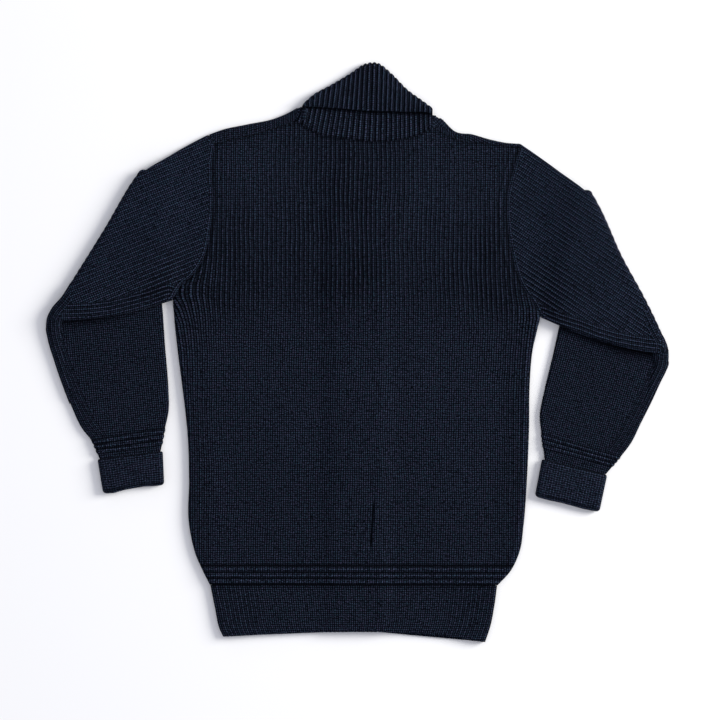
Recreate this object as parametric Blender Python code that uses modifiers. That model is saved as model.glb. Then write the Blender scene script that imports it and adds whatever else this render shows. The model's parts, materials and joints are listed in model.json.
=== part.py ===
"""A heavy wool shawl-collar cardigan, buttoned and laid flat on its front, back up.

X runs to the right as seen from above, Y towards the collar and Z up, with the
floor at Z = 0.  The sizes and tables below are in millimetres.  Each piece of
knitting is a closed wall between an outer and an inner surface, and the ribs and
welts are raised in the outer surface only.
"""

import math
from collections import namedtuple

import bmesh
import bpy
import numpy as np

MM = 0.001

# Cloth
WALL = 3.0
LAYER_GAP = 0.4
SEAM_GAP = 0.5
SHOULDER_GAP = 0.7
TOP_LEVEL = WALL + LAYER_GAP
RIB_HEIGHT = 1.1
WELT_HEIGHT = 1.7
WELT_PITCH = 10.0
WELTS = 3

# Body
BACK_RIBS = 72
SIDE_RADIUS = 4.2
SIDE_HEIGHT = 8.0
SIDE_SEAM_Z = 4.0
SIDE_SEAM_HALF_GAP = 0.15
SIDE_PUFF = SIDE_HEIGHT - TOP_LEVEL - WALL
SIDE_PUFF_REACH = 45.0
SIDE_ANGLES = np.radians([0, 28, 60])
SIDE_COLUMNS = (7.0, 16.0, 30.0, 48.0)
SHOULDER_RADIUS = 3.2
SHOULDER_ANGLES = np.radians([0, 50, 90, 130, 180])
SHOULDER_COLUMNS = 9
NECK_COLUMNS = 15

# Front opening: the left band lies on the floor and the right band on it
CENTRE_X = 1.0
BAND_WIDTH = 42.0
BAND_LEVEL = WALL + LAYER_GAP
NECK_START_Y = 119.0
BAND_SLOPE = 18.0
BAND_TURNS = (150.0, 180.0, 190.0, 200.0, 215.0, 260.0, 295.0, 314.0)
BUMP_SLOPE = 28.0
BUMP_MARGIN = 8.0
BUMP_HEIGHT = BAND_LEVEL + 0.3
PLACKET_COLUMNS = (-140, -95, -56, -46, -38, -30, -8, 12, 30, 38, 46, 56, 68, 84, 125)
LIFT_COLUMNS = (0.0, 5.0, 10.0, 18.0, 30.0)

# Buttons
BUTTONS = 5
BUTTON_RADIUS = 10.0
BUTTON_HEIGHT = 2.0
BUTTON_LOWEST_Y = -372.0
BUTTON_HIGHEST_Y = 96.0
POCKET_MARGIN = 0.4
POCKET_DEPTH = 2.4

# Sleeves: flattened tubes, folded once at the elbow
TUBE_HALF = WALL + LAYER_GAP / 2
FOLD_GAP = 0.8
FOLD_Z = 2 * TUBE_HALF + FOLD_GAP / 2
FOLD_MID_RADIUS = TUBE_HALF + FOLD_GAP / 2
FOLD_RADIUS = 2 * TUBE_HALF + FOLD_GAP / 2
FOLD_LIFT = 2 * FOLD_MID_RADIUS
FOLD_ANGLES = np.radians([90, 45, 0, -45, -90])
SLEEVE_RIBS = 30
SLEEVE_COLUMNS = 7
LOWER_EDGE_SAG = 8.0
TOP_EDGE_RISE = 2.0
UPPER_STATIONS = (0.0, 0.04, 0.1, 0.24, 0.42, 0.64, 0.86)
LIFT_WIDTH_LOW = 13.0
LIFT_WIDTH_HIGH = 45.0

# Cuffs, turned back and so double
CUFF_HALF = 4.8
CUFF_LIP = 1.6

# Collar
COLLAR_RIBS = 27
COLLAR_WALL = 3.6
COLLAR_LIFT = TOP_LEVEL + 0.1
COLLAR_BULGE = 2.6
COLLAR_RIB_HEIGHT = 1.3
COLLAR_ROLL_MID = COLLAR_WALL / 2 + LAYER_GAP / 2
COLLAR_ROLL_ANGLES = np.radians([-55, -10, 40])
COLLAR_PLAIN = 16
COLLAR_STAND = (0.0, 0.15, 0.35, 0.6, 1.0)
COLLAR_FALL = (0.0, 0.3, 0.65, 1.0)
COLLAR_RAMP = 26.0

COLOURS = {
    "wool": (0.012, 0.018, 0.032, 1.0),
    "button": (0.010, 0.012, 0.018, 1.0),
}

Section = namedtuple("Section", "place left_x left_y right_x right_y")
BODY = (
    Section("hem join", -208, -327, 198, -328),
    Section("welts", -218, -307, 216, -308),
    Section("flare", -228, -284, 228, -283),
    Section("low", -237, -243, 234, -246),
    Section("hip", -237, -180, 239, -180),
    Section("waist", -239, -117, 242, -109),
    Section("middle", -247, -45, 243, -45),
    Section("chest", -254, 10, 247, 3),
    Section("side top", -258, 50, 254, 34),
    Section("underarm", -259, 76, 257, 52),
    Section("armhole 1", -252, 90, 250, 67),
    Section("armhole 2", -231, 110, 231, 96),
    Section("armhole 3", -215, 136, 219, 134),
    Section("armhole 4", -207, 173, 212, 175),
    Section("armhole 5", -203, 215, 211, 218),
    Section("armhole 6", -205, 258, 220, 257),
    Section("shoulder", -201, 294, 229, 289),
)
HEM = (
    Section("join", -207, -327.5, 197, -328.5),
    Section("middle", -201, -358, 193, -358),
    Section("low", -194, -390, 186, -391),
    Section("edge", -189, -400, 180, -408),
)

Place = namedtuple("Place", "x y")
BACK_TOP = (
    Place(-201, 294),
    Place(-165, 302),
    Place(-115, 316),
    Place(-88, 326),
    Place(-55, 308),
    Place(-10, 300),
    Place(40, 297),
    Place(64, 300),
    Place(91, 308),
    Place(107, 317),
    Place(129, 304),
    Place(187, 293),
    Place(229, 289),
)
HEM_EDGE = (
    Place(-189, -400),
    Place(-129, -397),
    Place(-53, -394),
    Place(49, -394),
    Place(117, -398),
    Place(180, -408),
)
LEFT_SHOULDER_FOLD = (
    Place(-211, 306),
    Place(-189, 314),
    Place(-156, 321),
    Place(-115, 330),
    Place(-98, 337),
    Place(-84, 345),
)
RIGHT_SHOULDER_FOLD = (
    Place(118, 330),
    Place(126, 322),
    Place(134, 314),
    Place(163, 307),
    Place(187, 300),
    Place(212, 295),
    Place(226, 294),
)

Ring = namedtuple("Ring", "inner_x inner_y outer_x outer_y bow")
LEFT_CREASE = (
    Place(-305, 257),
    Place(-319, 237),
    Place(-354, 177),
    Place(-390, 119),
    Place(-416, 78),
    Place(-437, 49),
)
LEFT_FOREARM = (
    Ring(-289, 180, -439, 34, 0.5),
    Ring(-281, 116, -436, 18, 0.2),
    Ring(-275, 67, -432, 3, 0.0),
    Ring(-271, 12, -422, -26, 0.0),
    Ring(-266, -53, -404, -73, 0.0),
    Ring(-266, -84, -388, -107, 0.0),
    Ring(-271, -107, -374, -124, 0.0),
)
LEFT_WRIST = (Ring(-271, -107, -374, -124, 0.0), Ring(-277, -139, -363, -150, 0.0))
RIGHT_CREASE = (
    Place(328, 228),
    Place(341, 205),
    Place(372, 136),
    Place(403, 79),
    Place(426, 32),
    Place(439, -1),
)
RIGHT_FOREARM = (
    Ring(313, 158, 439, -14, 0.5),
    Ring(296, 88, 434, -29, 0.2),
    Ring(285, 39, 427, -43, 0.0),
    Ring(276, -2, 416, -67, 0.0),
    Ring(263, -56, 399, -101, 0.0),
    Ring(257, -90, 385, -129, 0.0),
    Ring(259, -113, 372, -146, 0.0),
)
RIGHT_WRIST = (Ring(259, -113, 372, -146, 0.0), Ring(264, -151, 350, -172, 0.0))

Cuff = namedtuple("Cuff", "top_left top_right foot_left foot_right")
CUFFS = {
    "left": Cuff((-366, -150.9), (-274, -139.2), (-358, -199), (-272, -184)),
    "right": Cuff((260, -150.6), (352, -173), (250, -203), (341, -225)),
}

Fold = namedtuple("Fold", "seam_x roll_x roll_y edge_x edge_y")
COLLAR = (
    Fold(-86, -76, 350, -75, 346),
    Fold(-72, -62, 362, -63, 346),
    Fold(-50, -37, 376, -41, 345),
    Fold(-23, -10, 392, -15, 343),
    Fold(3, 11, 405.1, 8, 341),
    Fold(25, 29, 406.1, 27, 340),
    Fold(48, 48, 392, 46, 340),
    Fold(71, 71, 369, 70, 339),
    Fold(91, 90, 355, 89, 339),
    Fold(106, 106, 343, 105, 337),
)


def smooth_step(value):
    value = np.clip(value, 0.0, 1.0)
    return value * value * (3 - 2 * value)


def blend(start, end, share):
    return start + (end - start) * share


def numbers(rows):
    """The number columns of a table, without the names of its rows."""
    return np.array([[value for value in row if not isinstance(value, str)] for row in rows], float)


def knots(rows):
    """The fraction of the way along a table at each of its rows."""
    steps = np.linalg.norm(np.diff(rows, axis=0), axis=1)
    total = np.concatenate([[0.0], np.cumsum(steps)])
    return total / total[-1]


def smooth_through(at, values, wanted):
    """A smooth curve's values at the wanted places, through the values known at others."""
    slopes = np.gradient(values, at, axis=0)
    wanted = np.clip(wanted, at[0], at[-1])
    i = np.clip(np.searchsorted(at, wanted, side="right") - 1, 0, len(at) - 2)
    step = at[i + 1] - at[i]
    s = (wanted - at[i]) / step
    if values.ndim > 1:
        s, step = s[:, None], step[:, None]
    first = values[i] * (2 * s**3 - 3 * s**2 + 1) + slopes[i] * step * (s**3 - 2 * s**2 + s)
    second = values[i + 1] * (3 * s**2 - 2 * s**3) + slopes[i + 1] * step * (s**3 - s**2)
    return first + second


def along(rows, fractions):
    """Points of a smooth curve through the rows, at fractions of the way along it."""
    return smooth_through(knots(rows), rows, np.atleast_1d(fractions))


def on_line(rows, fractions):
    """Points of the straight pieces between the rows, at fractions of the whole length."""
    at = knots(rows)
    return np.stack([np.interp(fractions, at, rows[:, k]) for k in range(rows.shape[1])], axis=1)


def height_on(rows, x):
    """Y at x on a smooth curve whose rows run from left to right."""
    return smooth_through(rows[:, 0], rows[:, 1], x)


BODY_ROWS = numbers(BODY)
BODY_AT = knots(BODY_ROWS)
BODY_LENGTH = BODY_ROWS[-1, 1] - BODY_ROWS[0, 1]
HEM_ROWS = numbers(HEM)
BACK_TOP_ROWS = numbers(BACK_TOP)
HEM_EDGE_ROWS = numbers(HEM_EDGE)
ROW_OF = {row.place: index for index, row in enumerate(BODY)}


NECK_LEFT, NECK_RIGHT = (x for x, y in BACK_TOP_ROWS[[3, 9]])


def body_at(place):
    return BODY_AT[ROW_OF[place]]


def top_edge(x):
    """Y of the back's upper edge: two shoulders, with the hollow of the neck between them."""
    left, neck, right = BACK_TOP_ROWS[:4], BACK_TOP_ROWS[3:10], BACK_TOP_ROWS[9:]
    shoulder = np.where(x < NECK_LEFT, height_on(left, x), height_on(right, x))
    return np.where((x > NECK_LEFT) & (x < NECK_RIGHT), height_on(neck, x), shoulder)


# Walls -------------------------------------------------------------------------


class Row:
    """Points across a surface, with each one's fraction of the way across."""

    def __init__(self, points, at):
        self.points = np.asarray(points, float)
        self.at = np.asarray(at, float)


def join_rows(bm, one, one_at, two, two_at):
    """Faces between two rows of corners, which may have unlike numbers of them."""
    i = j = 0
    while i < len(one) - 1 or j < len(two) - 1:
        next_one = one_at[i + 1] if i < len(one) - 1 else math.inf
        next_two = two_at[j + 1] if j < len(two) - 1 else math.inf
        if abs(next_one - next_two) < 1e-6:
            bm.faces.new((one[i], one[i + 1], two[j + 1], two[j]))
            i += 1
            j += 1
        elif next_one < next_two:
            bm.faces.new((one[i], one[i + 1], two[j]))
            i += 1
        else:
            bm.faces.new((one[i], two[j + 1], two[j]))
            j += 1


def skin(bm, rows, closed=False):
    """One surface through its rows.  A closed row's last corner is its first one."""
    made = []
    for row in rows:
        corners = [bm.verts.new(point * MM) for point in row.points]
        made.append(corners + corners[:1] if closed else corners)
    for k in range(len(rows) - 1):
        join_rows(bm, made[k], rows[k].at, made[k + 1], rows[k + 1].at)
    return made


def finished(bm, name, material, closed=True):
    if closed:
        bmesh.ops.recalc_face_normals(bm, faces=bm.faces)
    mesh = bpy.data.meshes.new(name)
    bm.to_mesh(mesh)
    bm.free()
    mesh.materials.append(material)
    piece = bpy.data.objects.new(name, mesh)
    bpy.data.collections["cardigan"].objects.link(piece)
    return piece


def wall(name, outer, outer_at, inner, inner_at, material):
    """A closed panel between an outer and an inner surface."""
    bm = bmesh.new()
    out, within = skin(bm, outer), skin(bm, inner)
    for end in (0, -1):
        join_rows(bm, out[end], outer[end].at, within[end], inner[end].at)
        side = [row[end] for row in out], [row[end] for row in within]
        join_rows(bm, side[0], outer_at, side[1], inner_at)
    return finished(bm, name, material)


def tube(name, outer, inner, material):
    """A closed wall round a tube that is open at both ends."""
    bm = bmesh.new()
    out, within = skin(bm, outer, closed=True), skin(bm, inner, closed=True)
    for end in (0, -1):
        join_rows(bm, out[end], outer[end].at, within[end], inner[end].at)
    return finished(bm, name, material)


# Body panels -------------------------------------------------------------------


def side_roll(place):
    """1 where back and front meet in a rounded side edge, and 0 along an armhole."""
    return 1 - smooth_step((place - body_at("underarm")) / (body_at("armhole 2") - body_at("underarm")))


def across(start, end, rolls, columns, inner):
    """Offsets from start, and the share of the side rounding at each of them.

    The first and last columns go round the side edges that rolls switches on.
    """
    width = math.dist(start, end)
    radius = SIDE_RADIUS
    plain = radius * (1 - np.cos(SIDE_ANGLES))
    tucked = radius - (radius - WALL) * np.cos(SIDE_ANGLES)
    edges = [blend(plain, tucked, roll) if inner else plain for roll in rolls]
    middle = blend(radius, width - radius, columns)
    offsets = np.concatenate([edges[0], middle, width - edges[1][::-1]])
    full = np.ones(len(columns))
    sines = np.concatenate([np.sin(SIDE_ANGLES), full, np.sin(SIDE_ANGLES)[::-1]])
    ends = np.ones(len(SIDE_ANGLES))
    rolled = np.concatenate([ends * rolls[0], full * 0, ends * rolls[1]])
    return offsets, width, sines, rolled


def side_puff(offsets, width, rolls):
    """How much higher the cloth stands along a rounded side than in the middle."""
    near = smooth_step(1 - (offsets - SIDE_RADIUS) / SIDE_PUFF_REACH) * rolls[0]
    far = smooth_step(1 - (width - offsets - SIDE_RADIUS) / SIDE_PUFF_REACH) * rolls[1]
    return SIDE_PUFF * np.maximum(near, far)


def band_edge(side, y):
    """X of the seam between a front and its band, which opens into the neckline."""
    top = FRONT_NECK[side]
    start = CENTRE_X + side * BAND_WIDTH / 2
    return blend(start, top.x, np.clip((y - NECK_START_Y) / (top.y - NECK_START_Y), 0, 1))


FRONT_NECK = {-1: Place(-84, 341), 1: Place(113, 327)}


def overlap_share(y):
    """1 where the right band lies on the left one, and 0 where they have parted."""
    return 1 - smooth_step((y - 180) / 35)


def placket_bump(x, y):
    """How much the back rises over the doubled bands beneath it."""
    left = CENTRE_X - BAND_WIDTH / 2 - BUMP_MARGIN
    right = np.maximum(band_edge(1, y), CENTRE_X) + BUMP_MARGIN
    rise = smooth_step((x - left) / BUMP_SLOPE + 1) * smooth_step((right - x) / BUMP_SLOPE + 1)
    return BUMP_HEIGHT * rise * (1 - smooth_step((y - 195) / 65))


def welts(distance):
    """The height of the raised cross ridges, by the distance from the band."""
    half = WELT_PITCH * 0.42
    heights = [np.clip(1 - ((distance - at) / half) ** 2, 0, 1) for at in welt_places()]
    return WELT_HEIGHT * np.max(heights, axis=0)


def welt_places():
    return [WELT_PITCH * (k + 0.6) for k in range(WELTS)]


def welt_rows():
    """Distances from the band of each ridge's foot and crest."""
    half = WELT_PITCH * 0.42
    places = welt_places()
    return [at + offset for at in places for offset in (-half, 0.0)] + [places[-1] + half]


def rib_columns(ribs, low=0.0, high=1.0):
    """Fractions at each rib's crest and at each groove between two ribs."""
    return np.linspace(low, high, 2 * ribs + 1)


def rib_shape(count):
    """0 at a groove and 1 at a crest, by turns."""
    return np.arange(count) % 2


def body_ends(place):
    row = along(BODY_ROWS, place)[0]
    return row[:2], row[2:]


def body_points(place, offsets, width):
    """Plan points of a body row, bent towards the shoulder and neck line near the top."""
    left, right = body_ends(place)
    share = (offsets / width)[:, None]
    points = blend(left, right, share)
    top_left, top_right = body_ends(1.0)
    top = blend(top_left, top_right, share)
    bend = top_edge(top[:, 0]) - top[:, 1]
    start = body_at("armhole 4")
    points[:, 1] += bend * smooth_step((place - start) / (1 - start))
    return points


def upper_row(points, offsets, width, sines, rolled, rolls, inner, relief=0.0):
    """A row of a panel of the top layer, with its height worked out."""
    top = TOP_LEVEL + WALL + side_puff(offsets, width, rolls) + placket_bump(points[:, 0], points[:, 1])
    top = top - WALL if inner else top + relief
    foot = SIDE_SEAM_Z + SIDE_SEAM_HALF_GAP
    height = blend(top, foot + (top - foot) * sines, rolled)
    return Row(np.column_stack([points, height]), offsets / width)


def back_rib_height(place):
    """The ribs stand out below the shoulders and sink into the cloth by the waist."""
    start, end = body_at("side top"), body_at("waist")
    fade = smooth_step((place - end) / (start - end))
    edge = smooth_step((1 - place) / 0.02) * 0.5 + 0.5
    return RIB_HEIGHT * fade * edge


def back_row(place, columns, inner=False, ribbed=False):
    left, right = body_ends(place)
    rolls = [float(side_roll(place))] * 2
    offsets, width, sines, rolled = across(left, right, rolls, columns, inner)
    relief = np.zeros(len(offsets))
    if ribbed:
        edge = len(SIDE_ANGLES)
        relief[edge : edge + len(columns)] = back_rib_height(place) * rib_shape(len(columns))
    if not inner:
        relief = relief + welts(place * BODY_LENGTH / (BODY_AT[-1])) * (1 - rolled)
    points = body_points(place, offsets, width)
    return upper_row(points, offsets, width, sines, rolled, rolls, inner, relief)


def armhole_places():
    """Rows along the armhole, close together where it curves."""
    first = ROW_OF["underarm"]
    return list(BODY_AT[first:])


def plain_columns(place):
    """Columns for a surface without ribs, close where it bends or borders the neck."""
    left, right = body_ends(place)
    inner_left, width = left[0] + SIDE_RADIUS, right[0] - left[0] - 2 * SIDE_RADIUS
    if place > body_at("armhole 5"):
        shoulders = BACK_TOP_ROWS[0, 0], NECK_LEFT, NECK_RIGHT, BACK_TOP_ROWS[-1, 0]
        counts = SHOULDER_COLUMNS, NECK_COLUMNS, SHOULDER_COLUMNS
        parts = [np.linspace(*shoulders[k : k + 2], counts[k], endpoint=k == 2) for k in range(3)]
        share = (np.concatenate(parts) - shoulders[0]) / (shoulders[3] - shoulders[0])
        x = blend(left[0], right[0], share)[1:-1]
    else:
        sides = np.array(SIDE_COLUMNS)
        x = np.concatenate([left[0] + sides, PLACKET_COLUMNS, right[0] - sides[::-1]])
    return np.concatenate([[0.0], (x - inner_left) / width, [1.0]])


def make_back(material):
    ribs = rib_columns(BACK_RIBS)
    join = [distance / BODY_LENGTH for distance in welt_rows()]
    low = [body_at(name) for name in ("flare", "low", "hip", "waist")]
    high = [body_at(name) for name in ("middle", "chest", "side top")] + armhole_places()
    outer_at = [0.0] + join + low + high
    outer = [back_row(place, plain_columns(place)) for place in [0.0] + join + low]
    outer += [back_row(place, ribs, ribbed=True) for place in high]
    inner_at = [0.0] + low + high
    inner = [back_row(place, plain_columns(place), inner=True) for place in inner_at]
    return wall("back", outer, outer_at, inner, inner_at, material)


def front_line(side, place):
    """The ends of a front's row: its side or armhole edge, and the band seam."""
    left, right = body_ends(min(place, 1.0))
    edge = np.array(left if side < 0 else right)
    if place > 1.0:
        fold = numbers(SHOULDER_FOLD[side])[0 if side < 0 else -1]
        edge = fold + (edge - fold) * SHOULDER_RADIUS / (fold[1] - edge[1])
    low, high = BODY_ROWS[0, 1], FRONT_NECK[side].y
    y = blend(low, high, min(place, 1.03) / 1.03)
    seam = np.array([band_edge(side, y) + side * SEAM_GAP, y])
    return edge, seam


SHOULDER_FOLD = {-1: LEFT_SHOULDER_FOLD, 1: RIGHT_SHOULDER_FOLD}


def front_lift(side, x, y):
    """The right front climbs onto the left band next to the opening."""
    if side < 0:
        return np.zeros(len(x))
    near = smooth_step(1 - (x - band_edge(side, y)) / BAND_SLOPE)
    return BAND_LEVEL * near * overlap_share(y)


def front_columns(width):
    """Columns of a front or its hem: close at the side, and where it climbs to the band."""
    sides = np.array(SIDE_COLUMNS)
    middle = np.linspace(sides[-1], width - LIFT_COLUMNS[-1], 5)[1:-1]
    offsets = np.concatenate([sides, middle, width - np.array(LIFT_COLUMNS[:0:-1])])
    return np.concatenate([[0.0], (offsets - SIDE_RADIUS) / (width - 2 * SIDE_RADIUS), [1.0]])


def front_row(side, place, inner):
    """A row of the flat part of a front, with Row.at counted from its side edge."""
    edge, seam = front_line(side, place)
    columns = front_columns(math.dist(edge, seam))
    rolls = [float(side_roll(place)), 0.0]
    offsets, width, sines, rolled = across(edge, seam, rolls, columns, inner)
    share = (offsets / width)[:, None]
    points = blend(edge, seam, share)
    fold = numbers(SHOULDER_FOLD[side])
    top_edge, top_seam = front_line(side, 1.03)
    top = blend(top_edge, top_seam, share)
    bend = height_on(fold, top[:, 0]) - SHOULDER_RADIUS - top[:, 1]
    start = body_at("armhole 4")
    points[:, 1] += bend * smooth_step((min(place, 1.0) - start) / (1 - start)) * min(place, 1.0)
    foot = SIDE_SEAM_Z - SIDE_SEAM_HALF_GAP
    face = WALL if inner else 0.0
    height = blend(face, foot - (foot - face) * sines, rolled)
    height = height + front_lift(side, points[:, 0], points[:, 1]) * (1 - rolled)
    return Row(np.column_stack([points, height]), offsets / width)


def shoulder_rows(side, inner):
    """The rows where a front goes over the shoulder, down to its seam with the back."""
    flat = front_row(side, 1.03, inner)
    radius = SHOULDER_RADIUS - (WALL if inner else 0.0)
    rows = []
    for angle in SHOULDER_ANGLES[1:]:
        points = flat.points.copy()
        points[:, 1] += radius * math.sin(angle)
        points[:, 2] = SHOULDER_RADIUS - radius * math.cos(angle)
        rows.append(Row(points, flat.at))
    outer_end = BACK_TOP_ROWS[0 if side < 0 else -1, 0] - side * 0.3
    neck_end = NECK_LEFT - 1.2 if side < 0 else NECK_RIGHT + 0.8
    points = rows[-1].points.copy()
    points[:, 0] = blend(outer_end, neck_end, flat.at)
    points[:, 1] = top_edge(points[:, 0]) + SHOULDER_GAP
    half_way = Row(blend(rows[-1].points, points, 0.5), flat.at)
    return rows + [half_way, Row(points, flat.at)]


def make_front(side, name, material):
    names = ("welts", "flare", "low", "hip", "waist", "middle", "chest", "side top")
    low = [0.0] + [body_at(name) for name in names]
    places = low + armhole_places() + [1.03]
    outer, inner = (
        [front_row(side, place, inside) for place in places] + shoulder_rows(side, inside)
        for inside in (False, True)
    )
    at = np.linspace(0, 1, len(outer))
    return wall(name, outer, at, inner, at, material)


def hem_ends(share):
    row = along(HEM_ROWS, share)[0]
    return row[:2], row[2:]


def hem_points(share, offsets, width):
    left, right = hem_ends(share)
    across_share = (offsets / width)[:, None]
    points = blend(left, right, across_share)
    foot_left, foot_right = hem_ends(1.0)
    foot = blend(foot_left, foot_right, across_share)
    points[:, 1] += (height_on(HEM_EDGE_ROWS, foot[:, 0]) - foot[:, 1]) * share**2
    return points


def make_hem_back(material):
    shares = np.linspace(0, 1, 5)
    rows = {}
    for inner in (False, True):
        rows[inner] = []
        for share in shares:
            left, right = hem_ends(share)
            x = np.array(PLACKET_COLUMNS)
            x = np.concatenate([left[0] + SIDE_COLUMNS[:1], x, right[0] - SIDE_COLUMNS[:1]])
            columns = (x - left[0] - SIDE_RADIUS) / (right[0] - left[0] - 2 * SIDE_RADIUS)
            columns = np.concatenate([[0.0], columns, [1.0]])
            offsets, width, sines, rolled = across(left, right, (1.0, 1.0), columns, inner)
            points = hem_points(share, offsets, width)
            rows[inner].append(upper_row(points, offsets, width, sines, rolled, (1.0, 1.0), inner))
    return wall("hem_back", rows[False], shares, rows[True], shares, material)


def make_hem_front(side, name, material):
    """The band below one front, from the side edge to the button band."""
    shares = np.linspace(0, 1, 5)
    foot = SIDE_SEAM_Z - SIDE_SEAM_HALF_GAP
    rows = {}
    for inner in (False, True):
        rows[inner] = []
        for share in shares:
            ends = hem_ends(share)
            edge = ends[0] if side < 0 else ends[1]
            x = CENTRE_X + side * (BAND_WIDTH / 2 + SEAM_GAP)
            y = blend(HEM_ROWS[0, 1], height_on(HEM_EDGE_ROWS, x), share)
            columns = front_columns(math.dist(edge, (x, y)))
            offsets, width, sines, rolled = across(edge, (x, y), (1.0, 0.0), columns, inner)
            points = blend(np.array(edge), np.array((x, y)), (offsets / width)[:, None])
            face = WALL if inner else 0.0
            height = blend(face, foot - (foot - face) * sines, rolled)
            height = height + front_lift(side, points[:, 0], points[:, 1]) * (1 - rolled)
            rows[inner].append(Row(np.column_stack([points, height]), offsets / width))
    return wall(name, rows[False], shares, rows[True], shares, material)


# Bands and buttons ----------------------------------------------------------------


def make_band(side, name, material):
    """One front band: straight up the opening, then along the neckline to the collar."""
    rows = []
    for y in np.concatenate([[HEM_ROWS[-1, 1], NECK_START_Y], BAND_TURNS]):
        seam = band_edge(side, y)
        x = np.linspace(seam, seam - side * BAND_WIDTH, 5)
        level = BAND_LEVEL * overlap_share(y) if side > 0 else 0.0
        ends = np.clip(y, height_on(HEM_EDGE_ROWS, x), top_edge(x) - SEAM_GAP)
        rows.append(np.column_stack([x, ends, np.full(5, level)]))
    bm = bmesh.new()
    grid = [[bm.verts.new(point * MM) for point in row] for row in rows]
    for low, high in zip(grid, grid[1:]):
        for j in range(4):
            corners = (low[j], low[j + 1], high[j + 1], high[j])
            bm.faces.new(corners if side < 0 else corners[::-1])
    piece = finished(bm, name, material, closed=False)
    thickness = piece.modifiers.new("thickness", "SOLIDIFY")
    thickness.thickness = WALL * MM
    thickness.offset = 1.0
    return piece


def button_places():
    return np.linspace(BUTTON_LOWEST_Y, BUTTON_HIGHEST_Y, BUTTONS)


def disc(name, radius, low, high, y, collection, segments=24):
    bpy.ops.mesh.primitive_cylinder_add(
        vertices=segments,
        radius=radius * MM,
        depth=(high - low) * MM,
        location=(CENTRE_X * MM, y * MM, (low + high) / 2 * MM),
    )
    piece = bpy.context.object
    piece.name = name
    for group in list(piece.users_collection):
        group.objects.unlink(piece)
    bpy.data.collections[collection].objects.link(piece)
    return piece


def make_buttons(band, material):
    """Plain buttons, level with the floor in round hollows of the outer band."""
    for number, y in enumerate(button_places(), start=1):
        button = disc(f"button_{number}", BUTTON_RADIUS, 0.0, BUTTON_HEIGHT, y, "cardigan")
        button.data.materials.append(material)
        rim = button.modifiers.new("rim", "BEVEL")
        rim.width = 0.5 * MM
        rim.segments = 1
        radius = BUTTON_RADIUS + POCKET_MARGIN
        cutter = disc(f"hollow_{number}", radius, -1.0, POCKET_DEPTH, y, "cutters")
        cutter.hide_render = True
        cutter.display_type = "WIRE"
        cut = band.modifiers.new(f"hollow {number}", "BOOLEAN")
        cut.operation = "DIFFERENCE"
        cut.object = cutter


# Sleeves --------------------------------------------------------------------------


def armhole_curve(side):
    """The sleeve's edge along the armhole, from the shoulder fold to the underarm."""
    ends = [body_ends(place)[0 if side < 0 else 1] for place in armhole_places()[::-1]]
    fold = numbers(SHOULDER_FOLD[side])[0 if side < 0 else -1]
    rows = np.array([fold] + ends)
    rows[:, 0] += side * (SEAM_GAP + 0.2)
    last = rows[-1] + np.array([side * 3.2, -1.5])
    return np.vstack([rows, last])


def armhole_columns(side):
    """Shares along the armhole ring that fall on the corners of the body's edge."""
    curve = armhole_curve(side)
    length = np.linalg.norm(curve[-1] - curve[0])
    shares = (knots(curve) * length - TUBE_HALF) / (length - 2 * TUBE_HALF)
    return np.concatenate([[0.0], shares[1:-1], [1.0]])


def inset_curve(curve, distance, towards):
    """The curve moved sideways, to the side where the point towards lies."""
    slopes = np.gradient(curve, axis=0)
    slopes /= np.linalg.norm(slopes, axis=1)[:, None]
    sideways = np.column_stack([-slopes[:, 1], slopes[:, 0]])
    if ((towards - curve.mean(axis=0)) * sideways.mean(axis=0)).sum() < 0:
        sideways = -sideways
    return curve + distance * sideways, -sideways


def trimmed(share, length):
    """The share along a line whose two ends are kept clear for the rounded edges."""
    return (TUBE_HALF + share * (length - 2 * TUBE_HALF)) / length


class Station:
    """One ring of a sleeve: its middle line, and which way its first face looks."""

    def __init__(self, middle, normal):
        self.middle = middle
        self.normal = normal

    def loop(self, half, first, second, raised_first, raised_second):
        """The ring at a distance half from the middle line, first face first."""
        a, a_up = self.middle(first), self.normal(first)
        b, b_up = self.middle(second[::-1]), self.normal(second[::-1])
        start, end = self.middle(np.array([0.0, 0.05])), self.middle(np.array([0.95, 1.0]))
        out_start = (start[0] - start[1]) / np.linalg.norm(start[0] - start[1])
        out_end = (end[1] - end[0]) / np.linalg.norm(end[1] - end[0])
        turn = np.radians([45, 90, 135])[:, None]
        up_end, up_start = self.normal(np.array([1.0]))[0], self.normal(np.array([0.0]))[0]
        edge_end = end[1] + half * (np.cos(turn) * up_end + np.sin(turn) * out_end)
        edge_start = start[0] + half * (-np.cos(turn) * up_start + np.sin(turn) * out_start)
        points = [
            a + a_up * (half + raised_first)[:, None],
            edge_end,
            b - b_up * (half + raised_second[::-1])[:, None],
            edge_start,
        ]
        at = np.concatenate(
            [first * 0.4, [0.425, 0.45, 0.475], 0.5 + (1 - second[::-1]) * 0.4, [0.925, 0.95, 0.975, 1.0]]
        )
        return Row(np.concatenate(points), at)


def sleeve_curves(side):
    crease = numbers(LEFT_CREASE if side < 0 else RIGHT_CREASE)
    armhole = armhole_curve(side)
    crease = along(crease, np.linspace(0, 1, 25))
    axis, outward = inset_curve(crease, FOLD_RADIUS, armhole.mean(axis=0))
    return armhole, axis, outward


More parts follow.
